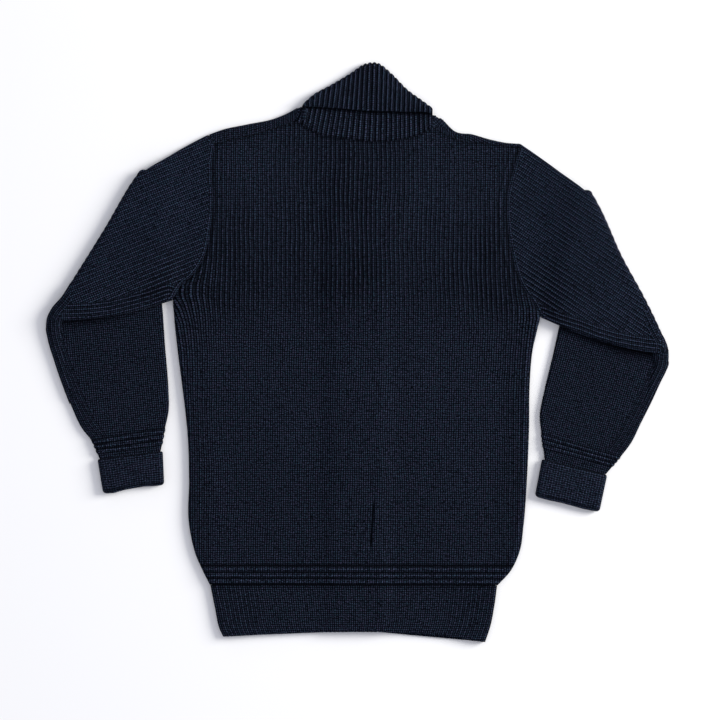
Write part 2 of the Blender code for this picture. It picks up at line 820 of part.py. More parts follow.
def lift_share(side, points, station):
    """1 where the upper arm lies on the forearm, and 0 where it lies on the floor."""
    forearm = LEFT_FOREARM if side < 0 else RIGHT_FOREARM
    crease = numbers(LEFT_CREASE if side < 0 else RIGHT_CREASE)
    line = np.array([crease[0]] + [(ring.inner_x, ring.inner_y) for ring in forearm[:3]])[::-1]
    edge = np.interp(points[:, 1], line[:, 1], line[:, 0])
    beyond = -side * (points[:, 0] - edge)
    rise = (points[:, 1] - line[0, 1]) / (line[-1, 1] - line[0, 1])
    width = blend(LIFT_WIDTH_LOW, LIFT_WIDTH_HIGH, smooth_step(rise))
    share = 1 - smooth_step((beyond - 1.0) / width)
    return np.maximum(share, smooth_step((station - 0.8) / 0.2))


def upper_station(side, t):
    armhole, axis, _ = sleeve_curves(side)

    def middle(share):
        length = blend(np.linalg.norm(armhole[-1] - armhole[0]), np.linalg.norm(axis[-1] - axis[0]), t)
        s = trimmed(share, length)
        points = blend(on_line(armhole, s), on_line(axis, s), t)
        points[:, 1] += 4 * t * (1 - t) * (TOP_EDGE_RISE * (1 - s) - LOWER_EDGE_SAG * s)
        height = TUBE_HALF + FOLD_LIFT * lift_share(side, points, t)
        return np.column_stack([points, height])

    return Station(middle, lambda share: np.tile((0.0, 0.0, 1.0), (len(share), 1)))


def fold_station(side, angle):
    _, axis, outward = sleeve_curves(side)
    length = np.linalg.norm(axis[-1] - axis[0])

    def normal(share):
        flat = on_line(np.column_stack([axis, outward]), trimmed(share, length))[:, 2:]
        flat = flat / np.linalg.norm(flat, axis=1)[:, None]
        return np.column_stack([flat * math.cos(angle), np.full(len(flat), math.sin(angle))])

    def middle(share):
        points = on_line(axis, trimmed(share, length))
        level = np.column_stack([points, np.full(len(points), FOLD_Z)])
        return level + FOLD_MID_RADIUS * normal(share)

    return Station(middle, normal)


def lower_station(side, ring):
    _, axis, _ = sleeve_curves(side)
    inner = np.array([ring.inner_x, ring.inner_y], float)
    outer = np.array([ring.outer_x, ring.outer_y], float)

    def middle(share):
        s = trimmed(share, np.linalg.norm(outer - inner))
        points = blend(inner, outer, s[:, None])
        curved = on_line(axis, s) - blend(axis[0], axis[-1], s[:, None])
        points = points + curved * ring.bow
        return np.column_stack([points, np.full(len(points), TUBE_HALF)])

    return Station(middle, lambda share: np.tile((0.0, 0.0, -1.0), (len(share), 1)))


def wrist_rings(side):
    """Rings over the three ridges, and the distance of each from the cuff."""
    top, foot = LEFT_WRIST if side < 0 else RIGHT_WRIST
    length = math.dist((top.inner_x, top.inner_y), (foot.inner_x, foot.inner_y))
    distances = [d * 0.9 for d in welt_rows()[::-1]] + [0.0]
    made = []
    for distance in distances:
        share = 1 - distance / length
        made.append((Ring(*blend(np.array(top), np.array(foot), share)), distance / 0.9))
    return made


def make_sleeve(side, name, material):
    forearm = LEFT_FOREARM if side < 0 else RIGHT_FOREARM
    ribs = rib_columns(SLEEVE_RIBS)
    plain = np.linspace(0, 1, SLEEVE_COLUMNS)
    upper = [upper_station(side, t) for t in UPPER_STATIONS]
    fold = [fold_station(side, angle) for angle in FOLD_ANGLES]
    lower = [lower_station(side, ring) for ring in forearm[:-1]]
    outer, inner = [], []
    for number, station in enumerate(upper + fold + lower):
        second = plain if number else armhole_columns(side)
        first = ribs if 0 < number < len(upper) + 3 else second
        height = RIB_HEIGHT if 1 < number < len(upper) + 3 else 0.0
        raised = height * rib_shape(len(first))
        outer.append(station.loop(TUBE_HALF, first, second, raised, second * 0))
        inner.append(station.loop(LAYER_GAP / 2, second, second, second * 0, second * 0))
    for ring, distance in wrist_rings(side):
        station = lower_station(side, ring)
        outer.append(station.loop(TUBE_HALF, plain, plain, plain * 0, plain * 0 + welts(distance)))
    inner.append(station.loop(LAYER_GAP / 2, plain, plain, plain * 0, plain * 0))
    return tube(name, outer, inner, material)


def make_cuff(side, name, material):
    """A turned-back cuff: a double wall, rounded at the turn and at its free edge."""
    cuff = CUFFS["left" if side < 0 else "right"]
    head = np.array([cuff.top_left, cuff.top_right], float)
    foot = np.array([cuff.foot_left, cuff.foot_right], float)
    outer, inner = [], []
    shares = (0.0, 0.03, 0.08, 0.3, 0.6, 0.9, 0.97, 1.0)
    tucks = (0.9, 0.35, 0.0, 0.0, 0.0, 0.0, 0.35, 1.0)
    plain = np.linspace(0, 1, SLEEVE_COLUMNS)
    none = np.zeros(SLEEVE_COLUMNS)
    for share, tuck in zip(shares, tucks):
        start, end = blend(head[0], foot[0], share), blend(head[1], foot[1], share)
        for half, rows in ((CUFF_HALF, outer), (LAYER_GAP / 2, inner)):
            rows.append(cuff_station(start, end).loop(half, plain, plain, none, none))
        outer[-1].points[:, 2] = np.minimum(outer[-1].points[:, 2], 2 * CUFF_HALF - CUFF_LIP * tuck)
    return tube(name, outer, inner, material)


def cuff_station(start, end):
    length = math.dist(start, end)

    def middle(share):
        s = (CUFF_HALF + share * (length - 2 * CUFF_HALF)) / length
        return np.column_stack([blend(start, end, s[:, None]), np.full(len(s), CUFF_HALF)])

    return Station(middle, lambda share: np.tile((0.0, 0.0, 1.0), (len(share), 1)))


# Collar ---------------------------------------------------------------------------


def collar_fold(share):
    row = along(numbers(COLLAR), share)
    seam = np.column_stack([row[:, 0], top_edge(row[:, 0]) + SEAM_GAP])
    return seam, row[:, 1:3], row[:, 3:5]


def collar_stand_height(share, distance):
    """The middle of the stand's wall: raised at both ends, on the floor between them."""
    ends = 1 - smooth_step((np.minimum(share, 1 - share) - 0.04) / 0.14)
    ramp = 1 - smooth_step(distance / COLLAR_RAMP)
    return COLLAR_WALL / 2 + COLLAR_LIFT * np.maximum(ends, ramp)


def collar_lines(shares):
    """Middle lines from the seam to the free edge, with the way that the outside faces."""
    seam, roll, edge = collar_fold(shares)
    reach = np.linalg.norm(roll - seam, axis=1)
    up = (roll - seam) / reach[:, None]
    fall = edge - roll
    fall_length = np.linalg.norm(fall, axis=1)
    down = fall / fall_length[:, None]
    inside = COLLAR_WALL / 2 + COLLAR_ROLL_MID
    axis = roll - up * inside
    top_height = collar_stand_height(shares, reach)
    lines = []
    for part in COLLAR_STAND:
        distance = part * (reach - inside)
        lines.append((seam + up * distance[:, None], collar_stand_height(shares, distance), -math.pi / 2))
    for angle in COLLAR_ROLL_ANGLES:
        point = axis + up * (COLLAR_ROLL_MID * math.cos(angle))
        lines.append((point, top_height + COLLAR_ROLL_MID * (1 + math.sin(angle)), angle))
    length = np.maximum(fall_length - inside, 1.0)
    for part in COLLAR_FALL:
        point = axis + down * (part * length)[:, None]
        under = np.clip(((point - seam) * up).sum(axis=1), 0, None)
        height = collar_stand_height(shares, under) + COLLAR_WALL + LAYER_GAP
        height = np.maximum(height, blend(top_height + 2 * COLLAR_ROLL_MID, height, part))
        bulge = COLLAR_BULGE * math.sin(math.pi * (part * 0.9 + 0.1)) * smooth_step(length / 25)
        lines.append((point, height + bulge, math.pi / 2))
    return lines, up


def collar_rows(ribbed):
    """Both faces of the collar line by line, in ribbed or in plain columns."""
    columns = rib_columns(COLLAR_RIBS) if ribbed else np.linspace(0, 1, COLLAR_PLAIN)
    lines, up = collar_lines(columns)
    crest = COLLAR_RIB_HEIGHT * rib_shape(len(columns)) * ribbed
    pairs = []
    for point, height, turn in lines:
        flat, rise = up * math.cos(turn), math.sin(turn)
        normal = np.column_stack([flat, np.full(len(up), rise)])
        middle = np.column_stack([point, height])
        share = max(rise + 1, 0) if rise > -0.99 else 1
        half = (COLLAR_WALL / 2 + crest * min(share, 1))[:, None]
        pairs.append((Row(middle + normal * half, columns), Row(middle - normal * half, columns)))
    return pairs


def make_collar(material):
    """Stand and fall of the shawl collar in one folded wall, ribbed where it shows."""
    ribbed, plain = collar_rows(True), collar_rows(False)
    split = len(COLLAR_STAND)
    face = [pair[0] for pair in plain[:split] + ribbed[split:]]
    reverse = [pair[1] for pair in ribbed[: split - 2] + plain[split - 2 :]]
    at = np.linspace(0, 1, len(face))
    return wall("collar", face, at, reverse, at, material)


# Scene ----------------------------------------------------------------------------


def make_material(name, colour, roughness):
    material = bpy.data.materials.new(name)
    material.use_nodes = True
    material.diffuse_color = colour
    shader = material.node_tree.nodes["Principled BSDF"]
    shader.inputs["Base Color"].default_value = colour
    shader.inputs["Roughness"].default_value = roughness
    return material


def clear_scene():
    for piece in list(bpy.data.objects):
        bpy.data.objects.remove(piece, do_unlink=True)
    for name in ("cardigan", "cutters"):
        group = bpy.data.collections.new(name)
        bpy.context.scene.collection.children.link(group)


def main():
    clear_scene()
    wool = make_material("navy wool", COLOURS["wool"], 0.9)
    horn = make_material("dark button", COLOURS["button"], 0.4)
    make_back(wool)
    make_hem_back(wool)
    make_collar(wool)
    for side, word in ((-1, "left"), (1, "right")):
        make_front(side, f"front_{word}", wool)
        make_hem_front(side, f"hem_{word}", wool)
        make_sleeve(side, f"sleeve_{word}", wool)
        make_cuff(side, f"cuff_{word}", wool)
    band = make_band(-1, "band_left", wool)
    make_band(1, "band_right", wool)
    make_buttons(band, horn)


main()
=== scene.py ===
"""A navy wool cardigan laid flat on its front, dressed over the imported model.

X runs to the right as seen from above, Y towards the collar and Z up.  The sizes
and tables are in millimetres, and repeat those of the solids.  A side is -1 on
the left and 1 on the right.
"""

import json
import math
from collections import namedtuple

import bmesh
import bpy
import numpy as np
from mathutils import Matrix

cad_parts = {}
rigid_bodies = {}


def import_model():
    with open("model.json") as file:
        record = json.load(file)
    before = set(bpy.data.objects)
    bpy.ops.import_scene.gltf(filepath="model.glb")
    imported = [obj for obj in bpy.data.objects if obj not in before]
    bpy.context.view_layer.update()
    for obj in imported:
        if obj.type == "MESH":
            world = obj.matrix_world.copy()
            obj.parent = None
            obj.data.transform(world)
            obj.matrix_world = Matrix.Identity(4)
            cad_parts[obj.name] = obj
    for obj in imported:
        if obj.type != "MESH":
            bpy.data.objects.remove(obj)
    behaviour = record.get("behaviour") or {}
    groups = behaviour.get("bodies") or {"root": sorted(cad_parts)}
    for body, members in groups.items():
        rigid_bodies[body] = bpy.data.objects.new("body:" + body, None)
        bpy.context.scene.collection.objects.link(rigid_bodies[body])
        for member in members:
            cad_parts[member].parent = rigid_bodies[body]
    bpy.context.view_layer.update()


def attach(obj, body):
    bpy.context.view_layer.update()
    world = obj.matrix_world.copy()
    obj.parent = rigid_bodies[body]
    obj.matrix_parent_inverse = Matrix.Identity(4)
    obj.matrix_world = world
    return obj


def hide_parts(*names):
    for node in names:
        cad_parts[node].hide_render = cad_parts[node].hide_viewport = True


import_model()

MM = 0.001
TURN = 2 * math.pi

# Cloth
WALL = 3.0
LAYER_GAP = 0.4
SEAM_GAP = 0.5
SHOULDER_GAP = 0.7
TOP_LEVEL = WALL + LAYER_GAP
TOP_FACE = TOP_LEVEL + WALL
RIB_HEIGHT = 1.1
RIB = 6.4
FINE = RIB / 5
COURSE = 3.05

# Raised cross ridges above the hem
WELT_HEIGHT = 1.7
WELT_PITCH = 10.0
WELTS = 3
WELT_ZONE = 35.0
WELT_ROW_STEP = 1.4

# Body
SIDE_RADIUS = 4.2
SIDE_HEIGHT = 8.0
SIDE_SEAM_Z = 4.0
SIDE_SEAM_HALF_GAP = 0.15
SIDE_PUFF = SIDE_HEIGHT - TOP_LEVEL - WALL
SIDE_PUFF_REACH = 45.0
SIDE_ANGLES = np.radians([0, 12, 24, 36, 48, 60, 74])
SIDE_COLUMNS = np.array([7.0, 16.0, 30.0, 48.0])
SHOULDER_RADIUS = 3.2
SHOULDER_ANGLES = np.radians([22, 45, 68, 90, 112, 135, 158, 180])
SHOULDER_COLUMNS = 9
NECK_COLUMNS = 15
BACK_LATTICE = np.arange(-175, 176) * FINE
EDGE_LATTICE = SIDE_RADIUS + np.arange(26) * FINE
BACK_ROWS = 112
HEM_WALES = 125
SHARP = math.radians(60)

# Front opening: the left band lies on the floor and the right band on it
CENTRE_X = 1.0
BAND_WIDTH = 42.0
BAND_LEVEL = WALL + LAYER_GAP
BAND_COLUMNS = 24
NECK_START_Y = 119.0
NECK_END_Y = 295.0
BAND_TOP_Y = 314.0
PARTING_Y, PARTING_REACH = 180.0, 35.0
BAND_SLOPE = 18.0
BUMP_SLOPE = 28.0
BUMP_MARGIN = 8.0
BUMP_HEIGHT = BAND_LEVEL + 0.3
BUMP_END_Y, BUMP_END_REACH = 195.0, 65.0
PLACKET_COLUMNS = (-140, -95, -56, -46, -38, -30, -8, 12, 30, 38, 46, 56, 68, 84, 125)
FRONT_COLUMNS = np.linspace(0, 1, 66)
FRONT_TOP = 1.03

# Buttons
BUTTONS = 5
BUTTON_RADIUS = 10.0
BUTTON_LOWEST_Y = -372.0
BUTTON_HIGHEST_Y = 96.0
BUTTON_TURNS = 96
HOLE_OFFSET = 1.61
HOLE_RADIUS = 0.9
POCKET_MARGIN = 0.4
POCKET_DEPTH = 2.4
THREAD_RADIUS = 0.2
THREAD_SHIFT = 0.22
THREAD_REACH = 1.702
THREAD_DEPTH = 0.42
THREAD_DIP = 0.95

# Sleeves: flattened tubes, folded once at the elbow
TUBE_HALF = WALL + LAYER_GAP / 2
FOLD_GAP = 0.8
FOLD_RADIUS = 2 * TUBE_HALF + FOLD_GAP / 2
FOLD_MID_RADIUS = TUBE_HALF + FOLD_GAP / 2
FOLD_LIFT = 2 * FOLD_MID_RADIUS
FOLD_ANGLES = np.radians(np.linspace(90, -90, 15))
LOWER_EDGE_SAG = 8.0
TOP_EDGE_RISE = 2.0
LIFT_WIDTH_LOW = 30.0
LIFT_WIDTH_HIGH = 75.0
CORNER_FILL = 4.2

# Bands of ribs round the armhole, along the upper arm's lower edge and down the
# forearm's outer edge, and then the lay of the ribs between them
ARM_BAND, ARM_PITCH = 4.0, 5.4
FOLD_BAND, FOLD_PITCH = 18.0, 5.6
EDGE_BAND, EDGE_PITCH = 22.0, 5.0
FINE_WALE = 3.1
RIB_LAY = {-1: (0.375, -0.927, 5.98), 1: (0.553, 0.833, 6.13)}
WALE_LAY = {-1: 0.094, 1: -0.287}
SLEEVE_STRENGTH = {-1: 0.6, 1: 0.7}
WRIST_RIDGES = {-1: (12.0, 20.5, 29.0), 1: (19.0, 26.0, 33.0)}
RIDGE_HALF = {-1: 3.9, 1: 3.3}
RIDGE_HEIGHT = 1.9
RIDGE_SWELL = 1.1
WRIST_ROW_STEP = 1.1
ROLL_RIB_HEIGHT = 0.55
SHOWN_UPPER = np.linspace(0, 1, 236)
SHOWN_LOWER = np.linspace(0, 1, 110)
HIDDEN_FACE = np.linspace(0, 1, 15)
INSIDE = np.linspace(0, 1, 9)

# Cuffs, turned back and so double
CUFF_HALF = 4.8
CUFF_LIP = 1.6
CUFF_RIBS = 22
CUFF_RIB_HEIGHT = 0.6
CUFF_TURN, CUFF_TURN_DEPTH = 0.925, 1.3

# Collar
COLLAR_RIBS = 27
COLLAR_WALL = 3.6
COLLAR_HALF = COLLAR_WALL / 2
COLLAR_LIFT = TOP_LEVEL + 0.1
COLLAR_BULGE = 2.6
COLLAR_RIB_HEIGHT = 1.3
COLLAR_ROLL_MID = COLLAR_HALF + LAYER_GAP / 2
COLLAR_ROLL_ANGLES = np.radians(np.linspace(-75, 75, 9))
COLLAR_STAND = np.linspace(0, 1, 24)
COLLAR_FALL = np.linspace(0, 1, 26)
COLLAR_RAMP = 26.0
NECK_FOLD_PITCH = 4.2


def table(*rows):
    return np.array(rows, float)


def both(left, right):
    """A table of its own for each side."""
    return {-1: table(*left), 1: table(*right)}


# Rows from the hem up: x and y of the back's left edge, and then of its right one
BODY = {
    "hem join": (-208, -327, 198, -328),
    "welts": (-218, -307, 216, -308),
    "flare": (-228, -284, 228, -283),
    "low": (-237, -243, 234, -246),
    "hip": (-237, -180, 239, -180),
    "waist": (-239, -117, 242, -109),
    "middle": (-247, -45, 243, -45),
    "chest": (-254, 10, 247, 3),
    "side top": (-258, 50, 254, 34),
    "underarm": (-259, 76, 257, 52),
    "armhole 1": (-252, 90, 250, 67),
    "armhole 2": (-231, 110, 231, 96),
    "armhole 3": (-215, 136, 219, 134),
    "armhole 4": (-207, 173, 212, 175),
    "armhole 5": (-203, 215, 211, 218),
    "armhole 6": (-205, 258, 220, 257),
    "shoulder": (-201, 294, 229, 289),
}
# The same for the hem band, from its seam down
HEM = table(
    (-207, -327.5, 197, -328.5),
    (-201, -358, 193, -358),
    (-194, -390, 186, -391),
    (-189, -400, 180, -408),
)

# Curves, as x and y from left to right or from the shoulder down
BACK_TOP = table(
    (-201, 294), (-165, 302), (-115, 316), (-88, 326), (-55, 308), (-10, 300), (40, 297),
    (64, 300), (91, 308), (107, 317), (129, 304), (187, 293), (229, 289),
)
HEM_EDGE = table(
    (-189, -400), (-129, -397), (-53, -394), (49, -394), (117, -398), (180, -408)
)
FRONT_NECK = both([(-84, 341)], [(113, 327)])
SHOULDER_FOLD = both(
    [(-211, 306), (-189, 314), (-156, 321), (-115, 330), (-98, 337), (-84, 345)],
    [(118, 330), (126, 322), (134, 314), (163, 307), (187, 300), (212, 295), (226, 294)],
)
ELBOW_CREASE = both(
    [(-305, 257), (-319, 237), (-354, 177), (-390, 119), (-416, 78), (-437, 49)],
    [(328, 228), (341, 205), (372, 136), (403, 79), (426, 32), (439, -1)],
)
# The lower edge of each upper arm, where it lies across the forearm
FOLD_LINE = both(
    [(-418, 51), (-375, 52.7), (-346.5, 56.3), (-317.7, 63.5), (-290.9, 70.7), (-265.5, 79.7)],
    [
        (258, 49), (283.7, 38.6), (311.2, 30.1), (334.9, 20.8),
        (360.5, 13.2), (385.9, 8.1), (406.6, 4.7), (423.7, 2.9),
    ],
)

# Rings of the forearms: x and y of the inner edge, of the outer edge, and the share of
# the elbow crease's bow
FOREARM = both(
    [
        (-289, 180, -439, 34, 0.5), (-281, 116, -436, 18, 0.2), (-275, 67, -432, 3, 0.0),
        (-271, 12, -422, -26, 0.0), (-266, -53, -404, -73, 0.0),
        (-266, -84, -388, -107, 0.0), (-271, -107, -374, -124, 0.0),
    ],
    [
        (313, 158, 439, -14, 0.5), (296, 88, 434, -29, 0.2), (285, 39, 427, -43, 0.0),
        (276, -2, 416, -67, 0.0), (263, -56, 399, -101, 0.0),
        (257, -90, 385, -129, 0.0), (259, -113, 372, -146, 0.0),
    ],
)
WRIST = both([(-277, -139, -363, -150, 0.0)], [(264, -151, 350, -172, 0.0)])

# The cloth that turns over at each elbow: x, y, half width, foot and top
ELBOW_ROLL = both(
    [
        (-404.0, 97.5, 5.0, 12.4, 13.6), (-416.5, 78.0, 9.0, 11.6, 14.2),
        (-430.2, 62.2, 10.5, 9.0, 14.4), (-437.0, 48.9, 11.5, 6.2, 13.6),
        (-438.6, 34.3, 11.5, 5.0, 11.6), (-436.1, 17.8, 10.0, 4.4, 9.8),
        (-427.4, -11.4, 8.0, 4.0, 8.4), (-419.4, -35.6, 6.0, 4.0, 7.6),
        (-405.4, -72.8, 3.0, 3.8, 6.6),
    ],
    [
        (402.3, 79.5, 5.0, 12.4, 13.6), (413.8, 56.0, 8.0, 11.6, 14.0),
        (425.6, 31.5, 10.0, 9.6, 14.4), (433.5, 17.8, 11.0, 7.0, 14.0),
        (437.8, 5.6, 11.5, 5.4, 12.4), (438.7, -7.4, 11.5, 4.6, 10.8),
        (436.9, -20.7, 10.5, 4.2, 9.6), (428.9, -39.0, 8.5, 4.0, 8.6),
        (419.6, -56.9, 6.5, 4.0, 7.8), (400.6, -96.3, 3.0, 3.8, 6.6),
    ],
)

# Corners of the cuffs: head left and right, foot left and right
CUFF = both(
    [(-366, -150.9), (-274, -139.2), (-358, -199), (-272, -184)],
    [(260, -150.6), (352, -173), (250, -203), (341, -225)],
)
# How far a cuff's foot hangs below a straight line, by x
CUFF_SAG = {
    -1: ((-358, -342, -325, -308, -290, -272), (0.0, 1.8, -0.5, -1.4, 1.4, 3.0)),
    1: ((250, 270, 290, 320, 341), (0.0, 0.5, 0.0, 1.0, 0.0)),
}

# Folds of the collar: x at the seam, x and y of the roll, x and y of the free edge
COLLAR = table(
    (-86, -76, 350, -75, 346), (-72, -62, 362, -63, 346), (-50, -37, 376, -41, 345),
    (-23, -10, 392, -15, 343), (3, 11, 405.1, 8, 341), (25, 29, 406.1, 27, 340),
    (48, 48, 392, 46, 340), (71, 71, 369, 70, 339), (91, 90, 355, 89, 339),
    (106, 106, 343, 105, 337),
)
NeckFold = namedtuple("NeckFold", "x y long wide low high turn")
NECK_FOLDS = (
    NeckFold(-82.0, 335.5, 11.0, 6.0, 0.4, 7.4, 62),
    NeckFold(-74.5, 336.0, 9.0, 4.5, 3.0, 11.4, 78),
    NeckFold(110.5, 325.5, 10.0, 5.5, 0.4, 7.6, -52),
    NeckFold(119.0, 322.5, 8.5, 4.6, 2.5, 8.0, -48),
    NeckFold(106.0, 320.0, 6.0, 4.4, 0.4, 9.0, 70),
)

# Creases of the back, and then the painted shadow and painted highlight along the centre crease: x
# and y of both ends, width, height
BACK_CREASES = (
    (18.5, -280, 22.5, -205, 2.0, -1.7),
    (22.8, -282, 26.8, -205, 3.0, 0.9),
    (13.0, -282, 18.0, -200, 5.0, 0.4),
    (95, 10, 60, -60, 30, 0.8),
    (-120, -40, -90, -150, 34, 0.7),
    (140, -120, 120, -230, 30, 0.6),
    (-170, 180, -120, 240, 26, 0.6),
    (150, 160, 120, 250, 24, 0.5),
)
CREASE_SHADOW_LINES = ((18.8, -278, 22.6, -207, 1.5, -1.1), (22.0, -278, 25.8, -207, 1.6, 0.4))

# How far the back's ribs lean sideways beside each edge, by y
LEAN_EDGE_X, LEAN_REACH = 257.0, 36.0
LEFT_LEAN = ((-150, 0, 40, 62, 80, 96, 112, 132, 160, 200), (0, 8, 14, 20, 26, 25, 17, 8, 3, 0))
RIGHT_LEAN = (
    (-150, -40, 0, 28, 48, 64, 82, 110, 140, 180),
    (0, -5, -9, -13, -16, -15, -10, -5, -2, 0),
)

# Section of a button, from the middle of its face round to that of its back
BUTTON_SECTION = (
    (0.0, 0.75), (1.2, 0.75), (2.4, 0.75), (3.6, 0.75), (4.8, 0.75), (6.0, 0.72),
    (6.8, 0.6), (7.4, 0.3), (7.9, 0.08), (8.5, 0.0), (9.1, 0.03), (9.6, 0.22),
    (9.9, 0.55), (10.0, 1.0), (9.9, 1.45), (9.5, 1.85), (8.8, 2.0), (5.0, 2.0), (0.0, 2.0),
)

# Places along a cuff's length, and how far its wall is tucked in at some of them
CUFF_SHARES = np.concatenate(
    [
        [0.0, 0.012, 0.03, 0.055],
        np.linspace(0.08, 0.9, 20),
        [0.92, 0.935, 0.95, 0.965, 0.98, 0.99, 1.0],
    ]
)
CUFF_TUCK = ((0.0, 0.03, 0.08, 0.9, 0.97, 1.0), (0.9, 0.35, 0.0, 0.0, 0.35, 1.0))

# Stations of a sleeve's inside, from the armhole to the fold
INSIDE_STATIONS = (0.0, 0.04, 0.1, 0.24, 0.42, 0.64, 0.86)


# Curves ---------------------------------------------------------------------------


def smooth_step(value):
    value = np.clip(value, 0.0, 1.0)
    return value * value * (3 - 2 * value)


def blend(start, end, share):
    return start + (end - start) * share


def bell(value, centre, width):
    return np.exp(-(((value - centre) / width) ** 2))


def near(x, y, at_x, at_y, reach_x, reach_y):
    return bell(x, at_x, reach_x) * bell(y, at_y, reach_y)


def running(points):
    """How far along a row each of its points is."""
    steps = np.linalg.norm(np.diff(points, axis=0), axis=1)
    return np.concatenate([[0.0], np.cumsum(steps)])


def knots(rows):
    """The fraction of the way along a table at each of its rows."""
    total = running(rows)
    return total / total[-1]


def directions(curve):
    """The way that a curve runs at each of its points."""
    slopes = np.gradient(curve, axis=0)
    return slopes / np.linalg.norm(slopes, axis=1)[:, None]


def sideways(slopes):
    return np.column_stack([-slopes[:, 1], slopes[:, 0]])


def smooth_through(at, values, wanted):
    """A smooth curve's values at the wanted places, through the values known at others."""
    slopes = np.gradient(values, at, axis=0)
    wanted = np.clip(wanted, at[0], at[-1])
    i = np.clip(np.searchsorted(at, wanted, side="right") - 1, 0, len(at) - 2)
    step = at[i + 1] - at[i]
    s = (wanted - at[i]) / step
    if values.ndim > 1:
        s, step = s[:, None], step[:, None]
    first = values[i] * (2 * s**3 - 3 * s**2 + 1) + slopes[i] * step * (s**3 - 2 * s**2 + s)
    second = values[i + 1] * (3 * s**2 - 2 * s**3) + slopes[i + 1] * step * (s**3 - s**2)
    return first + second


def along(rows, fractions):
    """Points of a smooth curve through the rows, at fractions of the way along it."""
    return smooth_through(knots(rows), rows, np.atleast_1d(fractions))


def on_line(rows, fractions):
    """Points of the straight pieces between the rows, at fractions of the whole length."""
    at = knots(rows)
    return np.stack([np.interp(fractions, at, column) for column in rows.T], axis=1)


def height_on(rows, x):
    """Y at x on a smooth curve whose rows run from left to right."""
    return smooth_through(rows[:, 0], rows[:, 1], x)


def away_from(points, start, end):
    """How far points are from a straight piece, and the share along it of the nearest."""
    length = end - start
    share = np.clip((points - start) @ length / max(length @ length, 1e-9), 0, 1)
    return np.linalg.norm(points - start - share[:, None] * length, axis=1), share


def distance_to(points, curve):
    """How far plan points are from a curve's straight pieces."""
    return np.min([away_from(points, *ends)[0] for ends in zip(curve, curve[1:])], axis=0)


def creases(rows, x, y):
    """Soft ridges and, with a height below nothing, soft troughs."""
    points = np.column_stack([x, y])
    total = np.zeros(len(points))
    for x0, y0, x1, y1, width, height in rows:
        away, share = away_from(points, np.array([x0, y0]), np.array([x1, y1]))
        taper = smooth_step(np.minimum(share, 1 - share) * 5 + 0.15)
        total += height * bell(away, 0, width) * taper
    return total


def rib_wave(phase):
    """0 at a groove between two ribs and 1 at a crest."""
    return 1 - (0.5 + 0.5 * np.cos(TURN * phase)) ** 2.2


BODY_ROWS = table(*BODY.values())
BODY_AT = dict(zip(BODY, knots(BODY_ROWS)))
BODY_LENGTH = BODY_ROWS[-1, 1] - BODY_ROWS[0, 1]
INNER_BODY_PLACES = [at for place, at in BODY_AT.items() if place != "welts"]
UNDERARM = BODY_AT["underarm"]
NECK_LEFT, NECK_RIGHT = BACK_TOP[3, 0], BACK_TOP[9, 0]
BACK_CORNER = {-1: BACK_TOP[0, 0], 1: BACK_TOP[-1, 0]}


def top_edge(x):
    """Y of the back's upper edge: two shoulders, with the hollow of the neck between them."""
    left, neck, right = BACK_TOP[:4], BACK_TOP[3:10], BACK_TOP[9:]
    shoulder = np.where(x < NECK_LEFT, height_on(left, x), height_on(right, x))
    return np.where((x > NECK_LEFT) & (x < NECK_RIGHT), height_on(neck, x), shoulder)


def towards_shoulder(place):
    """0 up to the middle of the armhole and 1 at the shoulder."""
    start = BODY_AT["armhole 4"]
    return smooth_step((place - start) / (1 - start))


# Meshes ---------------------------------------------------------------------------


def linked(name, mesh, material):
    mesh.shade_smooth()
    mesh.materials.append(material)
    piece = bpy.data.objects.new(name, mesh)
    bpy.context.scene.collection.objects.link(piece)
    return piece


def turned_piece(name, bm, material):
    """A piece from a mesh in the making, with its faces turned outwards."""
    bmesh.ops.recalc_face_normals(bm, faces=bm.faces)
    mesh = bpy.data.meshes.new(name)
    bm.to_mesh(mesh)
    bm.free()
    return linked(name, mesh, material)


def skin(bm, rings, capped=True):
    """Faces between rings of corners, where a ring may be one point, and over both ends."""
    sides = max(len(ring) for ring in rings)
    for one, two in zip(rings, rings[1:]):
        for k in range(sides):
            n = (k + 1) % sides
            corners = one[k % len(one)], one[n % len(one)], two[n % len(two)], two[k % len(two)]
            bm.faces.new(list(dict.fromkeys(corners)))
    if capped:
        bm.faces.new(rings[0])
        bm.faces.new(rings[-1][::-1])


def turns(count):
    return np.linspace(0, TURN, count + 1)[:-1]


Row = namedtuple("Row", "points at")
Line = namedtuple("Line", "ids stitch zone at")


